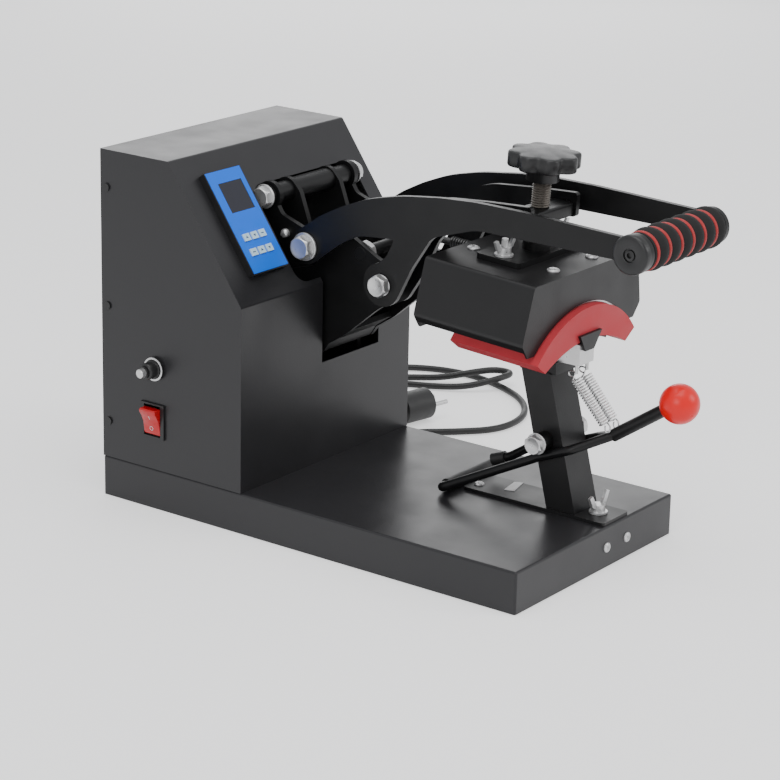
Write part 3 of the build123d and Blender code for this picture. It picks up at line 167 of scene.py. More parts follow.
lead_curve.bevel_resolution = 5
lead_curve.resolution_u = 10
lead_line = lead_curve.splines.new("NURBS")
lead_line.points.add(len(CORD_POINTS) - 1)
control = on_base(*np.array(CORD_POINTS, float).T)
lead_line.points.foreach_set("co", np.column_stack([control, np.ones(len(control))]).ravel())
lead_line.points.foreach_set("radius", np.full(len(control), LEAD_R * MM))
lead_line.order_u = 3
lead_line.use_endpoint_u = True
lead = bpy.data.objects.new("mains_lead", lead_curve)
bpy.context.scene.collection.objects.link(lead)
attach(lead, "press_frame")
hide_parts("power_cord")

# %% [markdown]
# ## Surfaces from arrays
# Almost every new piece is a grid of points: a shape that turns or runs along something, worked
# out for the whole grid at once. One helper makes the mesh, closes it where the grid meets
# itself, and hangs it on the body that it moves with.

# %% Making a mesh from a grid
def add_mesh(name, points, faces, body, slot, smooth=True):
    """A mesh object from points in metres; it rides on body, if given; slot is not used."""
    mesh = bpy.data.meshes.new(name)
    mesh.from_pydata(np.asarray(points, float).reshape(-1, 3).tolist(), [], faces)
    mesh.update()
    if smooth:
        mesh.polygons.foreach_set("use_smooth", np.ones(len(mesh.polygons), bool))
    piece = bpy.data.objects.new(name, mesh)
    bpy.context.scene.collection.objects.link(piece)
    if body:
        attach(piece, body)
    return piece


def grid_faces(rows, cols, wrap_rows=False, wrap_cols=True, first=0):
    """Corner numbers of the four-sided faces of a grid of rows by cols points."""
    r = np.arange(rows if wrap_rows else rows - 1)[:, None]
    c = np.arange(cols if wrap_cols else cols - 1)[None, :]
    r1, c1 = (r + 1) % rows, (c + 1) % cols
    quads = np.stack([r * cols + c, r * cols + c1, r1 * cols + c1, r1 * cols + c], axis=-1)
    return (quads.reshape(-1, 4) + first).tolist()


def closed_grid(grid):
    """Points and faces of a tube-like grid (rows along, columns round) with both ends capped."""
    rows, cols = grid.shape[:2]
    faces = grid_faces(rows, cols)
    faces.append(list(range(cols - 1, -1, -1)))
    faces.append(list(range((rows - 1) * cols, rows * cols)))
    return grid.reshape(-1, 3), faces


def slab(place, outline, low, high, bevel=0.3):
    """A grid for a bevelled slab. outline is its corners; place turns (a, b, height) into metres."""
    outline = np.asarray(outline, float)
    inward = outline.mean(axis=0) - outline
    inner = outline + bevel * inward / np.linalg.norm(inward, axis=1)[:, None]
    rows = [(low, inner), (low + bevel, outline), (high - bevel, outline), (high, inner)]
    return np.stack([place(ring[:, 0], ring[:, 1], height) for height, ring in rows])


def face_outwards(piece):
    """Turns every face of a closed piece to look outwards."""
    shape = bmesh.new()
    shape.from_mesh(piece.data)
    bmesh.ops.recalc_face_normals(shape, faces=shape.faces)
    shape.to_mesh(piece.data)
    shape.free()
    piece.data.update()
    return piece


def sharpen(piece, degrees=35):
    """Keeps the edges crisp where two faces meet more sharply than this, and smooth elsewhere."""
    piece.data.set_sharp_from_angle(angle=math.radians(degrees))
    return piece


def turned(profile, place, along, across, segments=48):
    """A grid for a turned piece: profile is (distance along, radius), place its start, in metres.

    Each point is place + distance * along + radius * (across * cos a + third * sin a).
    """
    along, across = np.array(along, float), np.array(across, float)
    along /= np.linalg.norm(along)
    across = across - along * (across @ along)
    across /= np.linalg.norm(across)
    third = np.cross(along, across)
    a = np.linspace(0, 2 * np.pi, segments, endpoint=False)
    ring = np.cos(a)[:, None] * across + np.sin(a)[:, None] * third
    d, r = (np.asarray(profile, float) * MM).T
    return np.asarray(place) + d[:, None, None] * along + r[:, None, None] * ring


def hex_head(place, out, across_flats, tall, washer=None):
    """A grid for a chamfered hexagon head, with a washer (radius, thickness) under it if given.

    A hexagon's radius at an angle is its half width over the cosine of the angle from the middle
    of the nearest flat; towards the top a cone takes its corners off.
    """
    a = np.linspace(0, 2 * np.pi, 72, endpoint=False)
    flats = across_flats / 2 / np.cos((a + np.pi / 6) % (np.pi / 3) - np.pi / 6)
    start = washer[1] if washer else 0.0
    rows = []
    if washer:
        rows += [(0.0, 0 * a + washer[0] - 0.3), (0.3, 0 * a + washer[0]),
                 (start - 0.3, 0 * a + washer[0]), (start, 0 * a + washer[0] - 0.4)]
    rows.append((start + 0.01, flats))
    for cut in np.linspace(0, 1, 5):
        corner_cone = across_flats * (0.577 - 0.1 * cut)
        rows.append((start + tall * (0.72 + 0.28 * cut), np.minimum(flats, corner_cone)))
    rows.append((start + tall + 0.01, 0 * a + across_flats * 0.4))
    rows.append((start + tall - 0.3, 0 * a + across_flats * 0.36))
    rows.append((start + tall - 0.3, 0 * a + 0.2))
    out = np.array(out, float) / np.linalg.norm(out)
    across = np.cross(out, (0.31, 0.12, 0.94))
    across /= np.linalg.norm(across)
    third = np.cross(out, across)
    ring = np.cos(a)[:, None] * across + np.sin(a)[:, None] * third
    d = np.array([row[0] for row in rows]) * MM
    r = np.stack([row[1] for row in rows]) * MM
    return np.asarray(place) + d[:, None, None] * out + r[:, :, None] * ring


def pan_head(place, out, radius, tall):
    """A grid for a domed screw head with a cross recess.

    The dome is a quarter ellipse; inside the cross, where the nearer of two axes is under half a
    slot's width away, the surface is sunk.
    """
    a = np.linspace(0, 2 * np.pi, 64, endpoint=False)
    t = np.linspace(0, np.pi / 2, 16)[:-1]
    r = np.concatenate([[radius], radius * np.cos(t) ** 0.8, [0.02 * radius]])[:, None] + 0 * a
    d = np.concatenate([[0.0], 0.25 * tall + 0.75 * tall * np.sin(t), [tall]])[:, None] + 0 * a
    x, y = np.abs(r * np.cos(a)), np.abs(r * np.sin(a))
    near, far = np.minimum(x, y), np.maximum(x, y)
    inside = np.clip(1.6 - near / (0.13 * radius), 0, 1)
    slot = inside * np.clip((0.62 * radius - far) / (0.12 * radius), 0, 1)
    d = d - 0.6 * tall * slot
    out = np.array(out, float) / np.linalg.norm(out)
    across = np.cross(out, (0.45, 0.2, 0.87))
    across /= np.linalg.norm(across)
    third = np.cross(out, across)
    ring = np.cos(a)[:, None] * across + np.sin(a)[:, None] * third
    return np.asarray(place) + (d * MM)[:, :, None] * out + (r * MM)[:, :, None] * ring


def turned_piece(name, profile, place, along, across, body, slot, segments=48):
    """A closed turned piece, from its profile."""
    return sharpen(add_mesh(name, *closed_grid(turned(profile, place, along, across, segments)),
                            body, slot))


def joined(name, grids, body, slot):
    """One object from several closed grids, such as a row of equal screws."""
    points, faces, first = [], [], 0
    for grid in grids:
        p, f = closed_grid(grid)
        points.append(p)
        faces += [[i + first for i in face] for face in f]
        first += len(p)
    return sharpen(face_outwards(add_mesh(name, np.concatenate(points), faces, body, slot)))


# %% [markdown]
# ## A wire along a line
# Springs and bent wire are a circle carried along a line. The circle stands square to the line,
# with one of its directions kept as near as possible to a chosen one, so it never twists.

# %% The wire helper
def wire(line, radius, steady, segments=10):
    """A grid for wire of one radius along line (n by 3, metres); steady is the direction kept."""
    line = np.asarray(line, float)
    ahead_ = np.gradient(line, axis=0)
    ahead_ /= np.linalg.norm(ahead_, axis=1)[:, None]
    steady = np.broadcast_to(np.asarray(steady, float), line.shape)
    side = np.cross(ahead_, steady)
    side /= np.linalg.norm(side, axis=1)[:, None]
    top = np.cross(side, ahead_)
    a = np.linspace(0, 2 * np.pi, segments, endpoint=False)[None, :, None]
    return line[:, None, :] + radius * MM * (np.cos(a) * top[:, None, :] - np.sin(a) * side[:, None, :])


def coil(start, end, radius, turns, steps=24):
    """Points of a helix from start to end (metres): radius millimetres, so many turns."""
    start, end = np.array(start, float), np.array(end, float)
    axis = (end - start) / np.linalg.norm(end - start)
    across = np.cross(axis, [1.0, 0.0, 0.0])
    across /= np.linalg.norm(across)
    third = np.cross(axis, across)
    t = np.linspace(0, 1, int(turns * steps) + 1)[:, None]
    a = 2 * np.pi * turns * t
    return start + (end - start) * t + radius * MM * (np.cos(a) * across + np.sin(a) * third), axis


# %% [markdown]
# ## The grip
# The hand bar wears a black foam sleeve with narrow red rings let into it. It is one turned
# profile: between two rings the foam swells a little, and it dips where each ring grips it. The
# rings are pieces of their own, because their colour and hardness differ.

# %% The grip's foam and rings
GRIP_AT = (-40.0, 288.8)
GRIP_HALF = 54.5
GRIP_R = 17.0
FIRST_RING = -49.4
RING_PITCH = 18.1
RINGS = 6
ring_at = FIRST_RING + RING_PITCH * np.arange(RINGS)

along_grip = np.linspace(-GRIP_HALF, GRIP_HALF, 221)
to_ring = np.abs(along_grip[:, None] - ring_at[None, :]).min(axis=1)
to_end = GRIP_HALF - np.abs(along_grip)
foam_r = GRIP_R + 0.9 * np.cos(np.pi * np.clip(to_ring, 0, 9) / 9 + np.pi) - 1.6 * np.exp(-to_end / 1.4)
foam_r -= 1.3 * np.exp(-(to_ring / 2.3) ** 2)
foam_profile = np.column_stack([along_grip, foam_r])
grip_place = on_linkage(0, *GRIP_AT)
foam = turned_piece("grip_foam", foam_profile, grip_place, (1, 0, 0), (0, 0, 1), "handle",
                    "black_foam", 64)
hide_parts("handle_grip")

# Each red ring is a torus, drawn out sideways, half sunk in its groove.
RING_HALF = 1.9
ring_turn = np.linspace(0, 2 * np.pi, 17)[:-1]
ring_round = np.linspace(0, 2 * np.pi, 64, endpoint=False)
ring_points, ring_faces = [], []
for number, x in enumerate(ring_at):
    r = (GRIP_R - 1.5 + 1.1 * np.sin(ring_turn))[:, None]
    dx = x + RING_HALF * np.cos(ring_turn)[:, None] + 0 * ring_round
    ring_y, ring_z = r * np.cos(ring_round), r * np.sin(ring_round)
    ring_points.append(on_linkage(dx, GRIP_AT[0] + ring_y, GRIP_AT[1] + ring_z))
    ring_faces += grid_faces(16, 64, wrap_rows=True, first=number * 16 * 64)
grip_rings = add_mesh("grip_rings", np.stack(ring_points), ring_faces, "handle", "black_foam")

# %% [markdown]
# ## The pressure knob
# A moulded eight-lobed knob, dark and slightly shiny. Its outline is a circle whose radius dips
# eight times; the same outline is carried up a profile that rounds the rim and sinks to a flat
# middle. Radius = profile radius minus the dip, and the dip fades towards the middle.

# %% The lobed knob
KNOB_LOBES = 8
SCREW_V = 52.5
a = np.linspace(0, 2 * np.pi, 192, endpoint=False)
dip = 4.6 * (0.5 - 0.5 * np.cos(KNOB_LOBES * a)) ** 1.4
knob_profile = np.array([
    [64.0, 12.6, 0], [64.0, 13.6, 0], [64.6, 14.0, 0], [73.6, 14.0, 0], [74.6, 14.6, 0],
    [75.0, 16.5, 0], [75.1, 24.0, 0.6], [75.3, 28.6, 0.95], [75.9, 30.2, 1], [77.2, 31.0, 1],
    [87.0, 31.0, 1], [88.0, 30.6, 1], [88.6, 29.8, 1], [88.9, 28.4, 0.98], [89.1, 26.0, 0.85],
    [89.3, 22.0, 0.5], [89.6, 17.0, 0.15], [89.8, 11.0, 0], [89.9, 6.0, 0], [89.9, 0.2, 0]])
knob_r = knob_profile[:, 1][:, None] - knob_profile[:, 2][:, None] * dip[None, :]
knob_grid = on_head(knob_r * np.cos(a), SCREW_V + knob_r * np.sin(a), knob_profile[:, 0][:, None] + 0 * a)
knob = add_mesh("pressure_knob", *closed_grid(knob_grid), "pressure_screw", "black_plastic")
sharpen(knob, 50)
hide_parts("star_knob")

# %% [markdown]
# ## The pressure screw
# A rolled thread is a circle whose radius rises and falls as it climbs: at height w and angle a
# the depth depends on w / pitch - a / turn. The ends taper so that the thread runs out.

# %% A threaded rod
def threaded(radius, depth, pitch, low, high, per_turn=12, segments=36):
    """Grid of (u, v, w) for an upright screw: radius minus depth times a rounded saw of w and angle."""
    rows = int((high - low) / pitch * per_turn) + 1
    w = np.linspace(low, high, rows)[:, None]
    a_ = np.linspace(0, 2 * np.pi, segments, endpoint=False)[None, :]
    phase = (w / pitch - a_ / (2 * np.pi)) % 1.0
    wave = np.abs(2 * phase - 1)
    runout = np.clip(np.minimum(w - low, high - w) / pitch, 0, 1)
    r = radius - depth * (wave * runout + (1 - runout) * 0.8)
    return r * np.cos(a_), r * np.sin(a_), w + 0 * a_


u, v, w = threaded(8.0, 0.9, 2.0, 12.4, 64.6)
screw_grid = on_head(u, v + SCREW_V, w)
nose_grid = turned([(-4.4, 8.4), (-0.4, 8.4), (-0.3, 5.9), (12.5, 5.9), (12.6, 7.2)],
                   on_head(0, SCREW_V, 0), on_head(0, 0, 1) - on_head(0, 0, 0), (1, 0, 0))
pressure_rod = joined("pressure_rod", [screw_grid, nose_grid], "pressure_screw", "dark_thread")
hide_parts("pressure_screw")

# %% [markdown]
# ## The two pull springs
# They lift the lever and hold the cap's rim. Each is a close-wound helix of bright wire with a
# hook at either end. The hook bends out of the last turn and curls over its pin.

# %% The lever's springs
SPRING_R = 4.1
SPRING_WIRE = 0.72
SPRING_TURNS = 19
SPRING_HIGH = (8.0, 43.6, 156.0)
SPRING_LOW = (6.8, 13.2, 121.6)
HOOK_R = 3.2
spring_grids = []
for side in (-1, 1):
    high = on_linkage(side * SPRING_HIGH[0], *SPRING_HIGH[1:])
    low = on_linkage(side * SPRING_LOW[0], *SPRING_LOW[1:])
    helix, axis = coil(high, low, SPRING_R, SPRING_TURNS)
    curl = np.pi * 1.45 * np.linspace(1, 0, 22)[:, None]
    hooks = []
    for end, out, reach in ((high, -axis, helix[0] - high), (low, axis, helix[-1] - low)):
        across = reach / np.linalg.norm(reach)
        rise = out * (HOOK_R + 0.9 + HOOK_R * np.sin(curl - 0.4))
        hooks.append(end + MM * (rise + across * HOOK_R * np.cos(curl)))
    line = np.concatenate([hooks[0], helix[6:-6], hooks[1][::-1]])
    spring_grids.append(wire(line, SPRING_WIRE, (1, 0, 0), 8))
springs = joined("lever_spring_wire", spring_grids, None, "spring_steel")
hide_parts("lever_springs")
[float(c) for c in on_linkage(0, *SPRING_HIGH[1:])]
[float(c) for c in on_linkage(0, *SPRING_LOW[1:])]
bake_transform(springs)

# %% [markdown]
# ## The cable's spring guard
# Where the heater's cable leaves the cover, a closed steel coil keeps it from kinking. It is the
# same helix helper, wound round the cable with the turns nearly touching.

# %% The guard
guard_line, _ = coil(on_head(-4.0, 107.8, -9.0), on_head(-4.0, 135.4, -9.0), 4.6, 11)
guard = joined("guard_coil", [wire(guard_line, 1.05, (1, 0, 0), 8)], "heater", "dark_spring")
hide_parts("cable_guard")

# %% [markdown]
# ## Bolts and screws
# The linkage turns on hexagon bolts with washers. Every head is a grid like the turned pieces,
# but its radius follows a hexagon. Pan-head screws are domes with a cross sunk into them. Each
# group of fasteners is one object on its own body, as the engineering model has it.

# %% The linkage's bolts
UPPER_PIVOT = (335.5, 273.8)
REAR_PIVOT = (290.0, 237.0)
FRONT_PIVOT = (208.0, 217.5)
LINK_STOP = (315.9, 243.3)
CROSS_STUD = (249.0, 232.5)
LEVER_PIVOT = (64.7, 99.2)
X_AXIS = np.array([1.0, 0.0, 0.0])
HEAD_ARM_IN, HEAD_ARM_OUT = 32.0, 37.0
LINK_IN, LINK_OUT = 50.5, 55.5
HANDLE_OUT = 61.3


def round_bar(at, first, last, radius):
    """A grid for a plain bar across the linkage at (y, z), from one dx to another."""
    chamfer = 0.4
    profile = [(0, radius - chamfer), (chamfer, radius), (last - first - chamfer, radius),
               (last - first, radius - chamfer)]
    return turned(profile, on_linkage(first, *at), X_AXIS, (0, 0, 1), 32)


pivot_grids, boss_grids = [round_bar(UPPER_PIVOT, -61.5, 61.5, 5.0)], []
link_grids, arm_grids = [], []
for side in (-1, 1):
    outward = side * X_AXIS
    pivot_grids.append(hex_head(on_linkage(side * 60.8, *UPPER_PIVOT), outward, 16.5, 6.2, (10.8, 1.8)))
    boss_grids.append(round_bar(UPPER_PIVOT, *sorted((side * 55.8, side * 60.7)), 9.5))
    link_grids.append(hex_head(on_linkage(side * HANDLE_OUT, *REAR_PIVOT), outward, 18.5, 7.6,
                               (12.4, 2.2)))
    link_grids.append(hex_head(on_linkage(side * LINK_IN, *REAR_PIVOT), -outward, 17.0, 7.2))
    link_grids.append(round_bar(REAR_PIVOT, *sorted((side * 43.4, side * 61.8)), 4.95))
    link_grids.append(turned([(0, 4.0), (2.8, 4.0), (4.2, 3.1), (4.9, 1.5), (5.0, 0.2)],
                             on_linkage(side * LINK_OUT, *LINK_STOP), outward, (0, 0, 1), 32))
    link_grids.append(hex_head(on_linkage(side * LINK_IN, *LINK_STOP), -outward, 10.0, 5.2))
    arm_grids.append(hex_head(on_linkage(side * HANDLE_OUT, *FRONT_PIVOT), outward, 17.4, 7.0,
                              (9.4, 1.0)))
    arm_grids.append(hex_head(on_linkage(side * HEAD_ARM_IN, *FRONT_PIVOT), -outward, 17.0, 7.8))
    arm_grids.append(round_bar(FRONT_PIVOT, *sorted((side * 24.4, side * 61.8)), 4.95))
    arm_grids.append(hex_head(on_linkage(side * HEAD_ARM_IN, *CROSS_STUD), -outward, 18.0, 6.8))
    arm_grids.append(turned([(0, 5.0), (1.6, 4.9), (2.8, 3.8), (3.0, 2.4), (1.2, 2.3), (1.2, 0.2)],
                            on_linkage(side * HEAD_ARM_OUT, 86.0, 292.0), outward, (0, 0, 1), 32))
pivot_bolt = joined("pivot_bolt", pivot_grids, "press_frame", "zinc")
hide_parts("upper_pivot_bolt")
bosses = joined("pivot_bosses", boss_grids, "press_frame", "black_paint")
rear_bolts = joined("rear_bolts", link_grids, "links", "zinc")
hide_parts("link_bolts")
arm_bolts = joined("arm_bolts", arm_grids, "head_arm", "zinc")
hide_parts("head_arm_bolts")
stud = joined("cross_stud", [round_bar(CROSS_STUD, -37.4, 37.4, 6.0)], "head_arm", "black_paint")

LEVER_BOLT_OUT = 30.3
lever_bolt = joined("lever_bolt", [
    round_bar(LEVER_PIVOT, -LEVER_BOLT_OUT - 0.5, LEVER_BOLT_OUT + 7.5, 4.95),
    hex_head(on_linkage(-LEVER_BOLT_OUT, *LEVER_PIVOT), -X_AXIS, 15.5, 6.0, (9.4, 1.4)),
    hex_head(on_linkage(LEVER_BOLT_OUT, *LEVER_PIVOT), X_AXIS, 16.0, 6.4)], "press_frame", "zinc")
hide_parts("lever_pivot_bolt")

# %% The screws with crossed recesses
FRONT_FACE = 0.0
FOOT_TOP = 39.5
front_grids = [pan_head(on_base(x, FRONT_FACE, 18.0), (0, -1, 0), 4.4, 2.3) for x in (15.6, 47.2)]
front_grids.append(pan_head(on_base(25.0, 138.0, FOOT_TOP), (0, 0, 1), 4.5, 2.4))
front_screws = joined("front_screws", front_grids, "press_frame", "zinc")
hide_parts("base_screws")

head_up = on_head(0, 0, 1) - on_head(0, 0, 0)
cover_grids = [pan_head(on_head(u, v, 0.05), head_up, 5.5, 2.4) for u in (-29, 29) for v in (15.5, 96)]
STUD_TALL = 20.0
for u in (-40.0, 40.0):
    tu, tv, tw = threaded(3.0, 0.35, 0.9, 5.0, STUD_TALL, segments=24)
    cover_grids.append(on_head(tu + u, tv + 58.0, tw))
cover_screws = joined("cover_screws", cover_grids, "heater", "zinc")
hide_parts("heater_cover_screws")

# %% [markdown]
# ## The hand bar's end
# The bar is held by a round cap outside the near arm, with a chamfered edge and a small socket
# screw sunk in its middle, and by a button-headed screw outside the far one.

# %% The end cap
CAP_R = 16.4
cap_profile = [(0, CAP_R - 0.4), (0.4, CAP_R), (5.4, CAP_R), (6.6, CAP_R - 0.5), (7.4, CAP_R - 1.7),
               (7.6, CAP_R - 4), (7.7, 6.2), (7.4, 5.7), (6.0, 5.5), (6.0, 4.6), (7.2, 4.3), (7.5, 3.8),
               (7.5, 2.3), (5.6, 2.2), (5.6, 0.2)]
button_profile = [(0, 6.8), (1.4, 6.8), (2.8, 5.6), (3.3, 3.8), (3.35, 2.3), (1.8, 2.2), (1.8, 0.2)]
bar_ends = joined("bar_ends", [
    turned(cap_profile, on_linkage(-61.05, *GRIP_AT), -X_AXIS, (0, 0, 1), 64),
    turned(button_profile, on_linkage(61.05, *GRIP_AT), X_AXIS, (0, 0, 1), 40),
    round_bar(GRIP_AT, -61.2, 61.2, 3.9), round_bar(GRIP_AT, -55.9, 55.9, 11.0)], "handle", "black_plastic")
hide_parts("handle_tube")

# %% [markdown]
# ## The cross block, the switch and the fuse holder
# The block between the head's arms is a bar with well rounded corners: its outline is a
# superellipse, |y|^n + |z|^n = 1 with n = 7. The rocker stands out of its frame at the top and is
# flush at the bottom. The fuse holder's cap is turned, in three steps.

# %% The block, the rocker and the fuse cap
BLOCK_Y, BLOCK_Z = (77.6, 104.0), (281.8, 294.4)
turn = np.linspace(0, 2 * np.pi, 72, endpoint=False)
power = 2 / 7
block_cos = np.sign(np.cos(turn)) * np.abs(np.cos(turn)) ** power
block_sin = np.sign(np.sin(turn)) * np.abs(np.sin(turn)) ** power
block_y = np.mean(BLOCK_Y) + np.ptp(BLOCK_Y) / 2 * block_cos
block_z = np.mean(BLOCK_Z) + np.ptp(BLOCK_Z) / 2 * block_sin
block = joined("arm_block", [slab(lambda y, z, dx: on_linkage(dx + 0 * y, y, z),
                                  np.column_stack([block_y, block_z]), -31.9, 31.9, 0.6)],
               "head_arm", "black_paint")
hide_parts("cross_block")

SIDE_X = -120.0
ROCKER_AT = (384.75, 81.75)
ROCKER_HALF = 9.0
rocker_outline = [(-8.6, 8.8), (-8.9, 10.5), (-7.8, 11.6), (-1.0, 11.8), (5.5, 8.0), (5.5, -8.0),
                  (0.3, -12.4), (-1.3, -12.6), (-1.8, -11.6), (-2.4, -7.0), (-3.6, -1.5), (-5.8, 4.0)]


def at_switch(out, up, across):
    """Metres of a point out of the side panel, up from and across the rocker's middle."""
    return on_base(SIDE_X + np.asarray(out), ROCKER_AT[0] + across + 0 * np.asarray(out),
                   ROCKER_AT[1] + np.asarray(up))


rocker = joined("rocker_key", [slab(at_switch, rocker_outline, -ROCKER_HALF, ROCKER_HALF, 0.5)],
                "rocker", "red_rocker")
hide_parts("switch_rocker")
OFF_OUT, OFF_UP, OFF_R = -2.75, -6.9, 1.7
MARK_HALF, MARK_RAISED = 0.28, 0.12
LOWER_FACE_LEAN, UPPER_FACE_LEAN = 0.09, 0.42
mark_turn = np.linspace(0, 2 * np.pi, 32, endpoint=False)
tube_rows = []
for t in np.linspace(0, 2 * np.pi, 9)[:-1]:
    mark_r = OFF_R + MARK_HALF * np.sin(t)
    out = OFF_OUT - MARK_RAISED * np.cos(t) - LOWER_FACE_LEAN * OFF_R * np.sin(mark_turn)
    tube_rows.append(at_switch(out, OFF_UP + mark_r * np.sin(mark_turn), mark_r * np.cos(mark_turn)))
off_mark = add_mesh("off_mark", np.stack(tube_rows), grid_faces(8, 32, wrap_rows=True), "rocker",
                    "red_rocker")
face_outwards(off_mark)
ON_UP = 3.4
on_corners = [(1.8, -0.3), (5.0, -0.3), (5.0, 0.3), (1.8, 0.3)]


def on_upper_face(up, across, out):
    """The same, with out following the slope of the rocker's upper face."""
    return at_switch(out - UPPER_FACE_LEAN * (up - ON_UP), up, across)


on_mark = joined("on_mark", [slab(on_upper_face, on_corners, -5.8, -5.3, 0.1)], "rocker",
                 "red_rocker")

FUSE_AT = (382.0, 129.6)
fuse_profile = [(0, 6.0), (0.2, 8.4), (1.6, 8.4), (2.0, 7.6), (9.0, 7.4), (10.2, 6.6), (10.8, 5.7),
                (13.4, 5.6), (13.6, 0.3)]
fuse_mouth = on_base(-123.2, *FUSE_AT)
fuse_parts = [turned(fuse_profile, fuse_mouth, -X_AXIS, (0, 0, 1), 48),
              turned([(0, 5.8), (14.5, 5.8)], fuse_mouth, X_AXIS, (0, 0, 1))]
fuse_cap = joined("fuse_knob", fuse_parts, "fuse_cap", "black_plastic")
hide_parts("fuse_cap")
fuse_tip = joined("fuse_tip", [turned([(0, 4.2), (4.2, 4.0), (4.8, 3.2), (4.9, 0.2)],
                                      on_base(-136.6, *FUSE_AT), -X_AXIS, (0, 0, 1), 32)],
                  "fuse_cap", "zinc")
rim = [turned([(0, 10.1), (0.35, 10.5), (0.9, 10.5), (1.2, 10.0), (1.2, 8.9), (0, 8.8)],
              on_base(-122.6, *FUSE_AT), -X_AXIS, (0, 0, 1), 64)]
fuse_rim = joined("fuse_rim", rim, "press_frame", "zinc")

# %% [markdown]
# ## Marks and a blank plate
# Each key has a small printed arrow or bar, as such keys have. A plain white plate without any
# lettering lies on the foot.

# %% Key marks and the plate
SLOPE_FOOT = (286.0, 201.5)
SLOPE_RUN = (81.0 / 139.68, 113.8 / 139.68)
KEY_TOP = 8.4


def on_slope(x, s, d):
    """Metres of a point x right, s up the sloping panel and d out of it."""
    y = SLOPE_FOOT[0] + np.asarray(s) * SLOPE_RUN[0] - d * SLOPE_RUN[1]
    z = SLOPE_FOOT[1] + np.asarray(s) * SLOPE_RUN[1] + d * SLOPE_RUN[0]
    return on_base(x, y, z)


arrow = [(-1.5, -0.9), (1.5, -0.9), (0.0, 1.4)]
bar = [(-1.7, -0.45), (1.7, -0.45), (1.7, 0.45), (-1.7, 0.45)]
signs = [arrow, [(-x, -y) for x, y in arrow], bar, bar, arrow, [(-x, -y) for x, y in arrow]]
key_marks = []
for number, sign in enumerate(signs):
    key_x = -81.8 + 10.2 * (number % 3)
    key_s = 55.9 - 14.0 * (number // 3)
    outline = [(key_x + x, key_s + y) for x, y in sign]
    sign_grid = slab(on_slope, outline, KEY_TOP - 0.1, KEY_TOP + 0.12, 0.05)
    key_marks.append(joined("key_sign_%d" % (number + 1), [sign_grid], "key_%d" % (number + 1),
                            "dark_screw"))

plate_corners = [(26.9, 113.0), (48.9, 117.2), (52.4, 110.2), (30.2, 104.4)]
blank_plate = joined("blank_plate", [slab(on_base, plate_corners, FOOT_TOP, FOOT_TOP + 0.5, 0.12)],
                     "press_frame", None)

# %% [markdown]
# ## Finishes
# Every finish is a small network of nodes on one shader. Powder coat is almost black with a fine
# orange-peel grain; zinc is a bright metal whose roughness wanders; plastics and rubber differ in
# sheen. The patterns read object coordinates, which are metres here, so a noise scale of 900
# makes grains about a millimetre wide.

# %% The finish helper
def finish_of(name, colour, rough, metal=0.0, vary=0.0, rough_vary=0.0, grain=0.0, grain_size=1.0,
              spots=9.0, **sockets):
    """A named material: colour and roughness, each varied by soft noise, and a grain bump.

    vary and rough_vary are how far colour and roughness swing; grain is the bump's strength;
    grain_size and spots are the sizes, in millimetres, of the grains and of the soft variation.
    """
    material = bpy.data.materials.new(name)
    material.use_nodes = True
    tree = material.node_tree
    shader = tree.nodes["Principled BSDF"]
    shader.inputs["Base Color"].default_value = (*colour, 1)
    shader.inputs["Roughness"].default_value = rough
    shader.inputs["Metallic"].default_value = metal
    for socket, value in sockets.items():
        shader.inputs[socket.replace("_", " ")].default_value = value
    where = tree.nodes.new("ShaderNodeTexCoord")
    if vary or rough_vary:
        cloud = tree.nodes.new("ShaderNodeTexNoise")
        cloud.inputs["Scale"].default_value = 1 / (spots * MM)
        cloud.inputs["Detail"].default_value = 5
        tree.links.new(where.outputs["Object"], cloud.inputs["Vector"])
        if vary:
            ramp = tree.nodes.new("ShaderNodeMix")
            ramp.data_type = "RGBA"
            ramp.inputs["A"].default_value = (*[c * (1 - vary) for c in colour], 1)
            ramp.inputs["B"].default_value = (*[min(1, c * (1 + vary)) for c in colour], 1)
            tree.links.new(cloud.outputs["Fac"], ramp.inputs["Factor"])
            tree.links.new(ramp.outputs["Result"], shader.inputs["Base Color"])
        if rough_vary:
            spread = tree.nodes.new("ShaderNodeMapRange")
            spread.inputs["From Min"].default_value = 0.3
            spread.inputs["From Max"].default_value = 0.7
            spread.inputs["To Min"].default_value = max(0.02, rough - rough_vary)
            spread.inputs["To Max"].default_value = min(1, rough + rough_vary)
            tree.links.new(cloud.outputs["Fac"], spread.inputs["Value"])
            tree.links.new(spread.outputs["Result"], shader.inputs["Roughness"])
    if grain:
        peel = tree.nodes.new("ShaderNodeTexNoise")
        peel.inputs["Scale"].default_value = 1 / (grain_size * MM)
        peel.inputs["Detail"].default_value = 2
        bump = tree.nodes.new("ShaderNodeBump")
        bump.inputs["Strength"].default_value = grain
        bump.inputs["Distance"].default_value = 0.0002
        tree.links.new(where.outputs["Object"], peel.inputs["Vector"])
        tree.links.new(peel.outputs["Fac"], bump.inputs["Height"])
        tree.links.new(bump.outputs["Normal"], shader.inputs["Normal"])
    return material


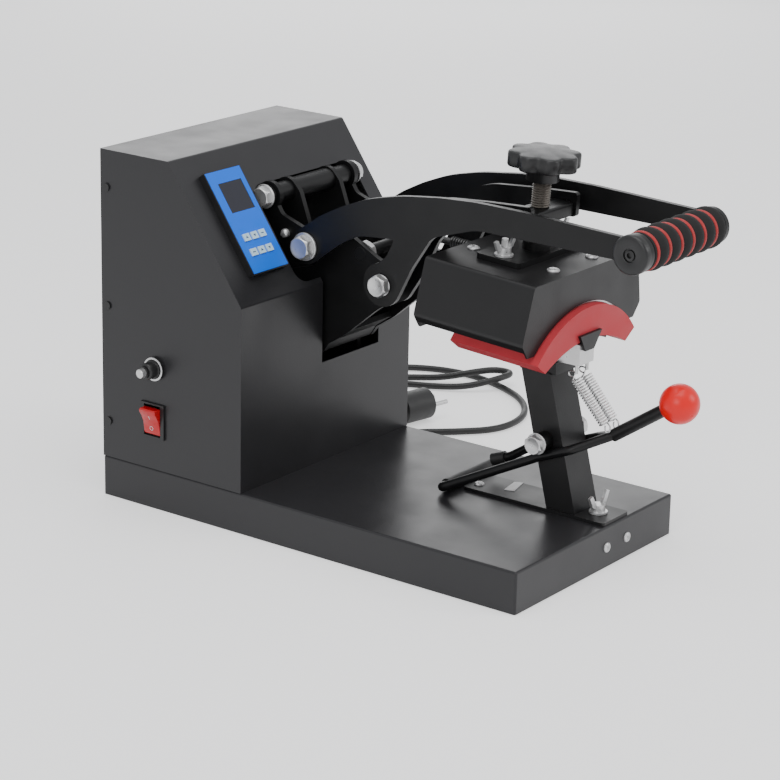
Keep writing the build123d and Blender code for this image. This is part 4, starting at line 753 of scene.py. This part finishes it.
satin_paint = finish_of("satin_paint", (0.019, 0.0187, 0.0205), 0.34, vary=0.1, rough_vary=0.05,
                        grain=0.3, grain_size=1.3, spots=40, Specular_IOR_Level=0.36)
cover_paint = finish_of("cover_paint", (0.008, 0.0078, 0.0083), 0.42, vary=0.1, rough_vary=0.05,
                        grain=0.3, grain_size=1.3, spots=30, Specular_IOR_Level=0.32)
arm_paint = finish_of("arm_paint", (0.006, 0.006, 0.0063), 0.38, vary=0.12, rough_vary=0.06,
                      grain=0.25, grain_size=1.5, spots=25, Specular_IOR_Level=0.25)
bright_zinc = finish_of("bright_zinc", (0.6, 0.6, 0.6), 0.34, metal=0.72, vary=0.12, rough_vary=0.08,
                        grain=0.15, grain_size=0.8, spots=4)
dull_steel = finish_of("dull_steel", (0.13, 0.115, 0.1), 0.45, metal=0.7, vary=0.2, rough_vary=0.1,
                       grain=0.2, grain_size=0.7, spots=5)
spring_wire = finish_of("spring_wire", (0.72, 0.72, 0.72), 0.26, metal=0.85, rough_vary=0.05, spots=3)
black_wire = finish_of("black_wire", (0.05, 0.05, 0.05), 0.35, metal=0.6, rough_vary=0.1, spots=3)
moulded_black = finish_of("moulded_black", (0.013, 0.013, 0.0135), 0.36, vary=0.15, rough_vary=0.06,
                          grain=0.2, grain_size=0.6, spots=12, Specular_IOR_Level=0.4)
soft_black = finish_of("soft_black", (0.012, 0.012, 0.012), 0.5, vary=0.15, rough_vary=0.06,
                       grain=0.25, grain_size=0.9, spots=10)
foam_black = finish_of("foam_black", (0.011, 0.0105, 0.0105), 0.8, vary=0.3, grain=0.9,
                       grain_size=1.0, spots=6, Specular_IOR_Level=0.3)
foam_red = finish_of("foam_red", (0.4, 0.014, 0.014), 0.5, vary=0.25, grain=0.5, grain_size=0.9)
panel_blue = finish_of("panel_blue", (0.0, 0.155, 0.86), 0.4, vary=0.04, rough_vary=0.04,
                       grain=0.1, grain_size=0.8, spots=15, Specular_IOR_Level=0.25)
window_dark = finish_of("window_dark", (0.008, 0.009, 0.02), 0.1, vary=0.2, spots=20)
key_cap = finish_of("key_cap", (0.52, 0.74, 0.88), 0.4, vary=0.06, rough_vary=0.05, grain=0.15,
                    grain_size=0.7, spots=3)
key_ink = finish_of("key_ink", (0.03, 0.06, 0.16), 0.5, vary=0.1)
rocker_red = finish_of("rocker_red", (0.62, 0.01, 0.014), 0.2, vary=0.12, rough_vary=0.04, spots=5,
                       Specular_IOR_Level=0.4)
white_ink = finish_of("white_ink", (0.8, 0.8, 0.8), 0.5, vary=0.05)
pad_red = finish_of("pad_red", (0.56, 0.048, 0.06), 0.5, vary=0.08, rough_vary=0.08, grain=0.3,
                    grain_size=1.1, spots=18, Specular_IOR_Level=0.25)
ball_red = finish_of("ball_red", (0.9, 0.004, 0.005), 0.3, vary=0.03, rough_vary=0.03, spots=12,
                     Specular_IOR_Level=0.4)
cast_alloy = finish_of("cast_alloy", (0.74, 0.74, 0.75), 0.35, metal=0.8, vary=0.08, rough_vary=0.08,
                       grain=0.3, grain_size=1.0, spots=8)
heater_sheet = finish_of("heater_sheet", (0.42, 0.12, 0.035), 0.6, vary=0.15, grain=0.3)
cable_grey = finish_of("cable_grey", (0.05, 0.05, 0.05), 0.55, vary=0.1, grain=0.4, grain_size=0.8)
bearing_brass = finish_of("bearing_brass", (0.62, 0.43, 0.17), 0.35, metal=1, vary=0.12,
                          rough_vary=0.1, spots=4)

# %% [markdown]
# ## Which piece wears which finish
# The engineering model's pieces keep their own shapes; each gets its finish here. A table from
# finish to piece names is easier to read than fifty separate lines.

# %% Dressing the pieces
worn = {
    satin_paint: ["base_tray", "base_bottom_cover", "base_channel", "housing_wrap", "housing_sides",
                  "housing_rear_panel"],
    cover_paint: ["heater_cover", "post", "platen_plate"],
    arm_paint: ["frame_plates", "frame_spacer_tubes", "head_arms", "cross_block", "handle_arms",
                "handle_pivot_spacers", "links", "heater_bracket", "lever_arm"],
    bright_zinc: ["base_screws", "upper_pivot_bolt", "head_pivot_shaft", "head_arm_bolts",
                  "handle_tube", "link_bolts", "heater_cover_screws", "wing_nut_left",
                  "wing_nut_right", "platen_bracket", "foot_wing_screw",
                  "lever_pivot_bolt", "plug_pins"],
    bearing_brass: ["head_pivot_bushes"],
    moulded_black: ["controller_bezel", "switch_body", "fuse_body", "fuse_cap", "star_knob",
                    "casing_screws"],
    soft_black: ["cord_gland", "power_cord", "plug_body", "lever_sleeves"],
    foam_black: ["handle_grip"],
    panel_blue: ["controller_face"],
    window_dark: ["display_window"],
    key_cap: ["key_1", "key_2", "key_3", "key_4", "key_5", "key_6"],
    rocker_red: ["switch_rocker"],
    pad_red: ["silicone_pad"],
    ball_red: ["lever_ball"],
    cast_alloy: ["heater_platen"],
    heater_sheet: ["heating_element"],
    cable_grey: ["heater_cable"],
    black_wire: ["cable_guard"],
    spring_wire: ["lever_springs"],
    dull_steel: ["pressure_screw"],
}


def wear(piece, material):
    """The piece has this one material."""
    piece.data.materials.clear()
    piece.data.materials.append(material)


for material, names in worn.items():
    for name in names:
        wear(nodes[name], material)
for piece, material in ((lead, soft_black), (foam, foam_black), (grip_rings, foam_red),
                        (knob, moulded_black), (pressure_rod, dull_steel), (springs, spring_wire),
                        (guard, black_wire), (pivot_bolt, bright_zinc), (bosses, arm_paint),
                        (rear_bolts, bright_zinc), (arm_bolts, bright_zinc), (stud, arm_paint),
                        (lever_bolt, bright_zinc), (front_screws, bright_zinc),
                        (cover_screws, bright_zinc), (bar_ends, moulded_black), (block, arm_paint),
                        (rocker, rocker_red), (off_mark, white_ink), (on_mark, white_ink),
                        (fuse_cap, moulded_black), (fuse_tip, bright_zinc), (fuse_rim, bright_zinc),
                        (blank_plate, white_ink), *((mark, key_ink) for mark in key_marks)):
    wear(piece, material)
dressed = {name for names in worn.values() for name in names}
print("pieces with no finish:", sorted(set(nodes) - dressed))

# %% [markdown]
# ## The studio
# A pale floor, a plain pale sky, and three large soft lamps. The floor looks white to the camera
# and in reflections, but it throws back no more light than a pale floor would, and it keeps the
# shadow of the machine.

# %% Floor and light
FLOOR_HALF = 9.0
floor_mesh = bpy.data.meshes.new("floor")
floor_mesh.from_pydata([(-FLOOR_HALF, -FLOOR_HALF, 0), (FLOOR_HALF, -FLOOR_HALF, 0),
                        (FLOOR_HALF, FLOOR_HALF, 0), (-FLOOR_HALF, FLOOR_HALF, 0)], [], [(0, 1, 2, 3)])
floor = bpy.data.objects.new("floor", floor_mesh)
bpy.context.scene.collection.objects.link(floor)
floor.location = (0, 0, -0.0004)
floor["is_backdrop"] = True

def seen_directly(tree):
    """A socket that is 1 for what the camera or a reflection sees, and 0 for what lights the room."""
    path = tree.nodes.new("ShaderNodeLightPath")
    either = tree.nodes.new("ShaderNodeMath")
    either.operation = "MAXIMUM"
    tree.links.new(path.outputs["Is Camera Ray"], either.inputs[0])
    tree.links.new(path.outputs["Is Glossy Ray"], either.inputs[1])
    return either.outputs["Value"]


FLOOR_GLOW = 0.7
floor_finish = bpy.data.materials.new("floor_finish")
floor_finish.use_nodes = True
floor_tree = floor_finish.node_tree
floor_shader = floor_tree.nodes["Principled BSDF"]
floor_shader.inputs["Base Color"].default_value = (0.78, 0.78, 0.79, 1)
floor_shader.inputs["Roughness"].default_value = 0.9
floor_shader.inputs["Emission Color"].default_value = (1, 1, 1, 1)
glow = floor_tree.nodes.new("ShaderNodeMath")
glow.operation = "MULTIPLY"
glow.inputs[1].default_value = FLOOR_GLOW
floor_tree.links.new(seen_directly(floor_tree), glow.inputs[0])
floor_tree.links.new(glow.outputs["Value"], floor_shader.inputs["Emission Strength"])
floor.data.materials.append(floor_finish)

ROOM_LIGHT, ROOM_SEEN = 0.6, 1.0
world = bpy.data.worlds.new("sky")
bpy.context.scene.world = world
world.use_nodes = True
sky = world.node_tree.nodes["Background"]
sky.inputs["Color"].default_value = (0.95, 0.96, 0.98, 1)
sky_range = world.node_tree.nodes.new("ShaderNodeMapRange")
sky_range.inputs["To Min"].default_value = ROOM_LIGHT
sky_range.inputs["To Max"].default_value = ROOM_SEEN
world.node_tree.links.new(seen_directly(world.node_tree), sky_range.inputs["Value"])
world.node_tree.links.new(sky_range.outputs["Result"], sky.inputs["Strength"])


def soft_lamp(name, place, aim, size, power):
    """A square area lamp at place, turned to shine on aim."""
    data = bpy.data.lights.new(name, "AREA")
    data.size = size
    data.energy = power
    lamp = bpy.data.objects.new(name, data)
    bpy.context.scene.collection.objects.link(lamp)
    lamp.location = place
    lamp.rotation_euler = (Vector(aim) - Vector(place)).to_track_quat("-Z", "Y").to_euler()
    return lamp


soft_lamp("lamp_above", (-0.3, -0.2, 2.2), (0, 0, 0.1), 1.6, 26)
soft_lamp("lamp_left", (-2.2, -0.6, 1.3), (0, 0, 0.15), 1.2, 14)
soft_lamp("lamp_front", (1.2, -2.2, 1.4), (0, 0, 0.15), 1.2, 16)
soft_lamp("lamp_behind", (2.2, 1.6, 0.9), (0, 0, 0.25), 1.5, 12)

# %% [markdown]
# ## The overall size
# The place where the lead leaves its gland is worked out, and the size of all the shown pieces
# together is printed.

# %% Measures
[float(c) for c in on_base(*GLAND_END)]
low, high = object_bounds()
print("visual size", [round(b - a_, 4) for a_, b in zip(low, high)])
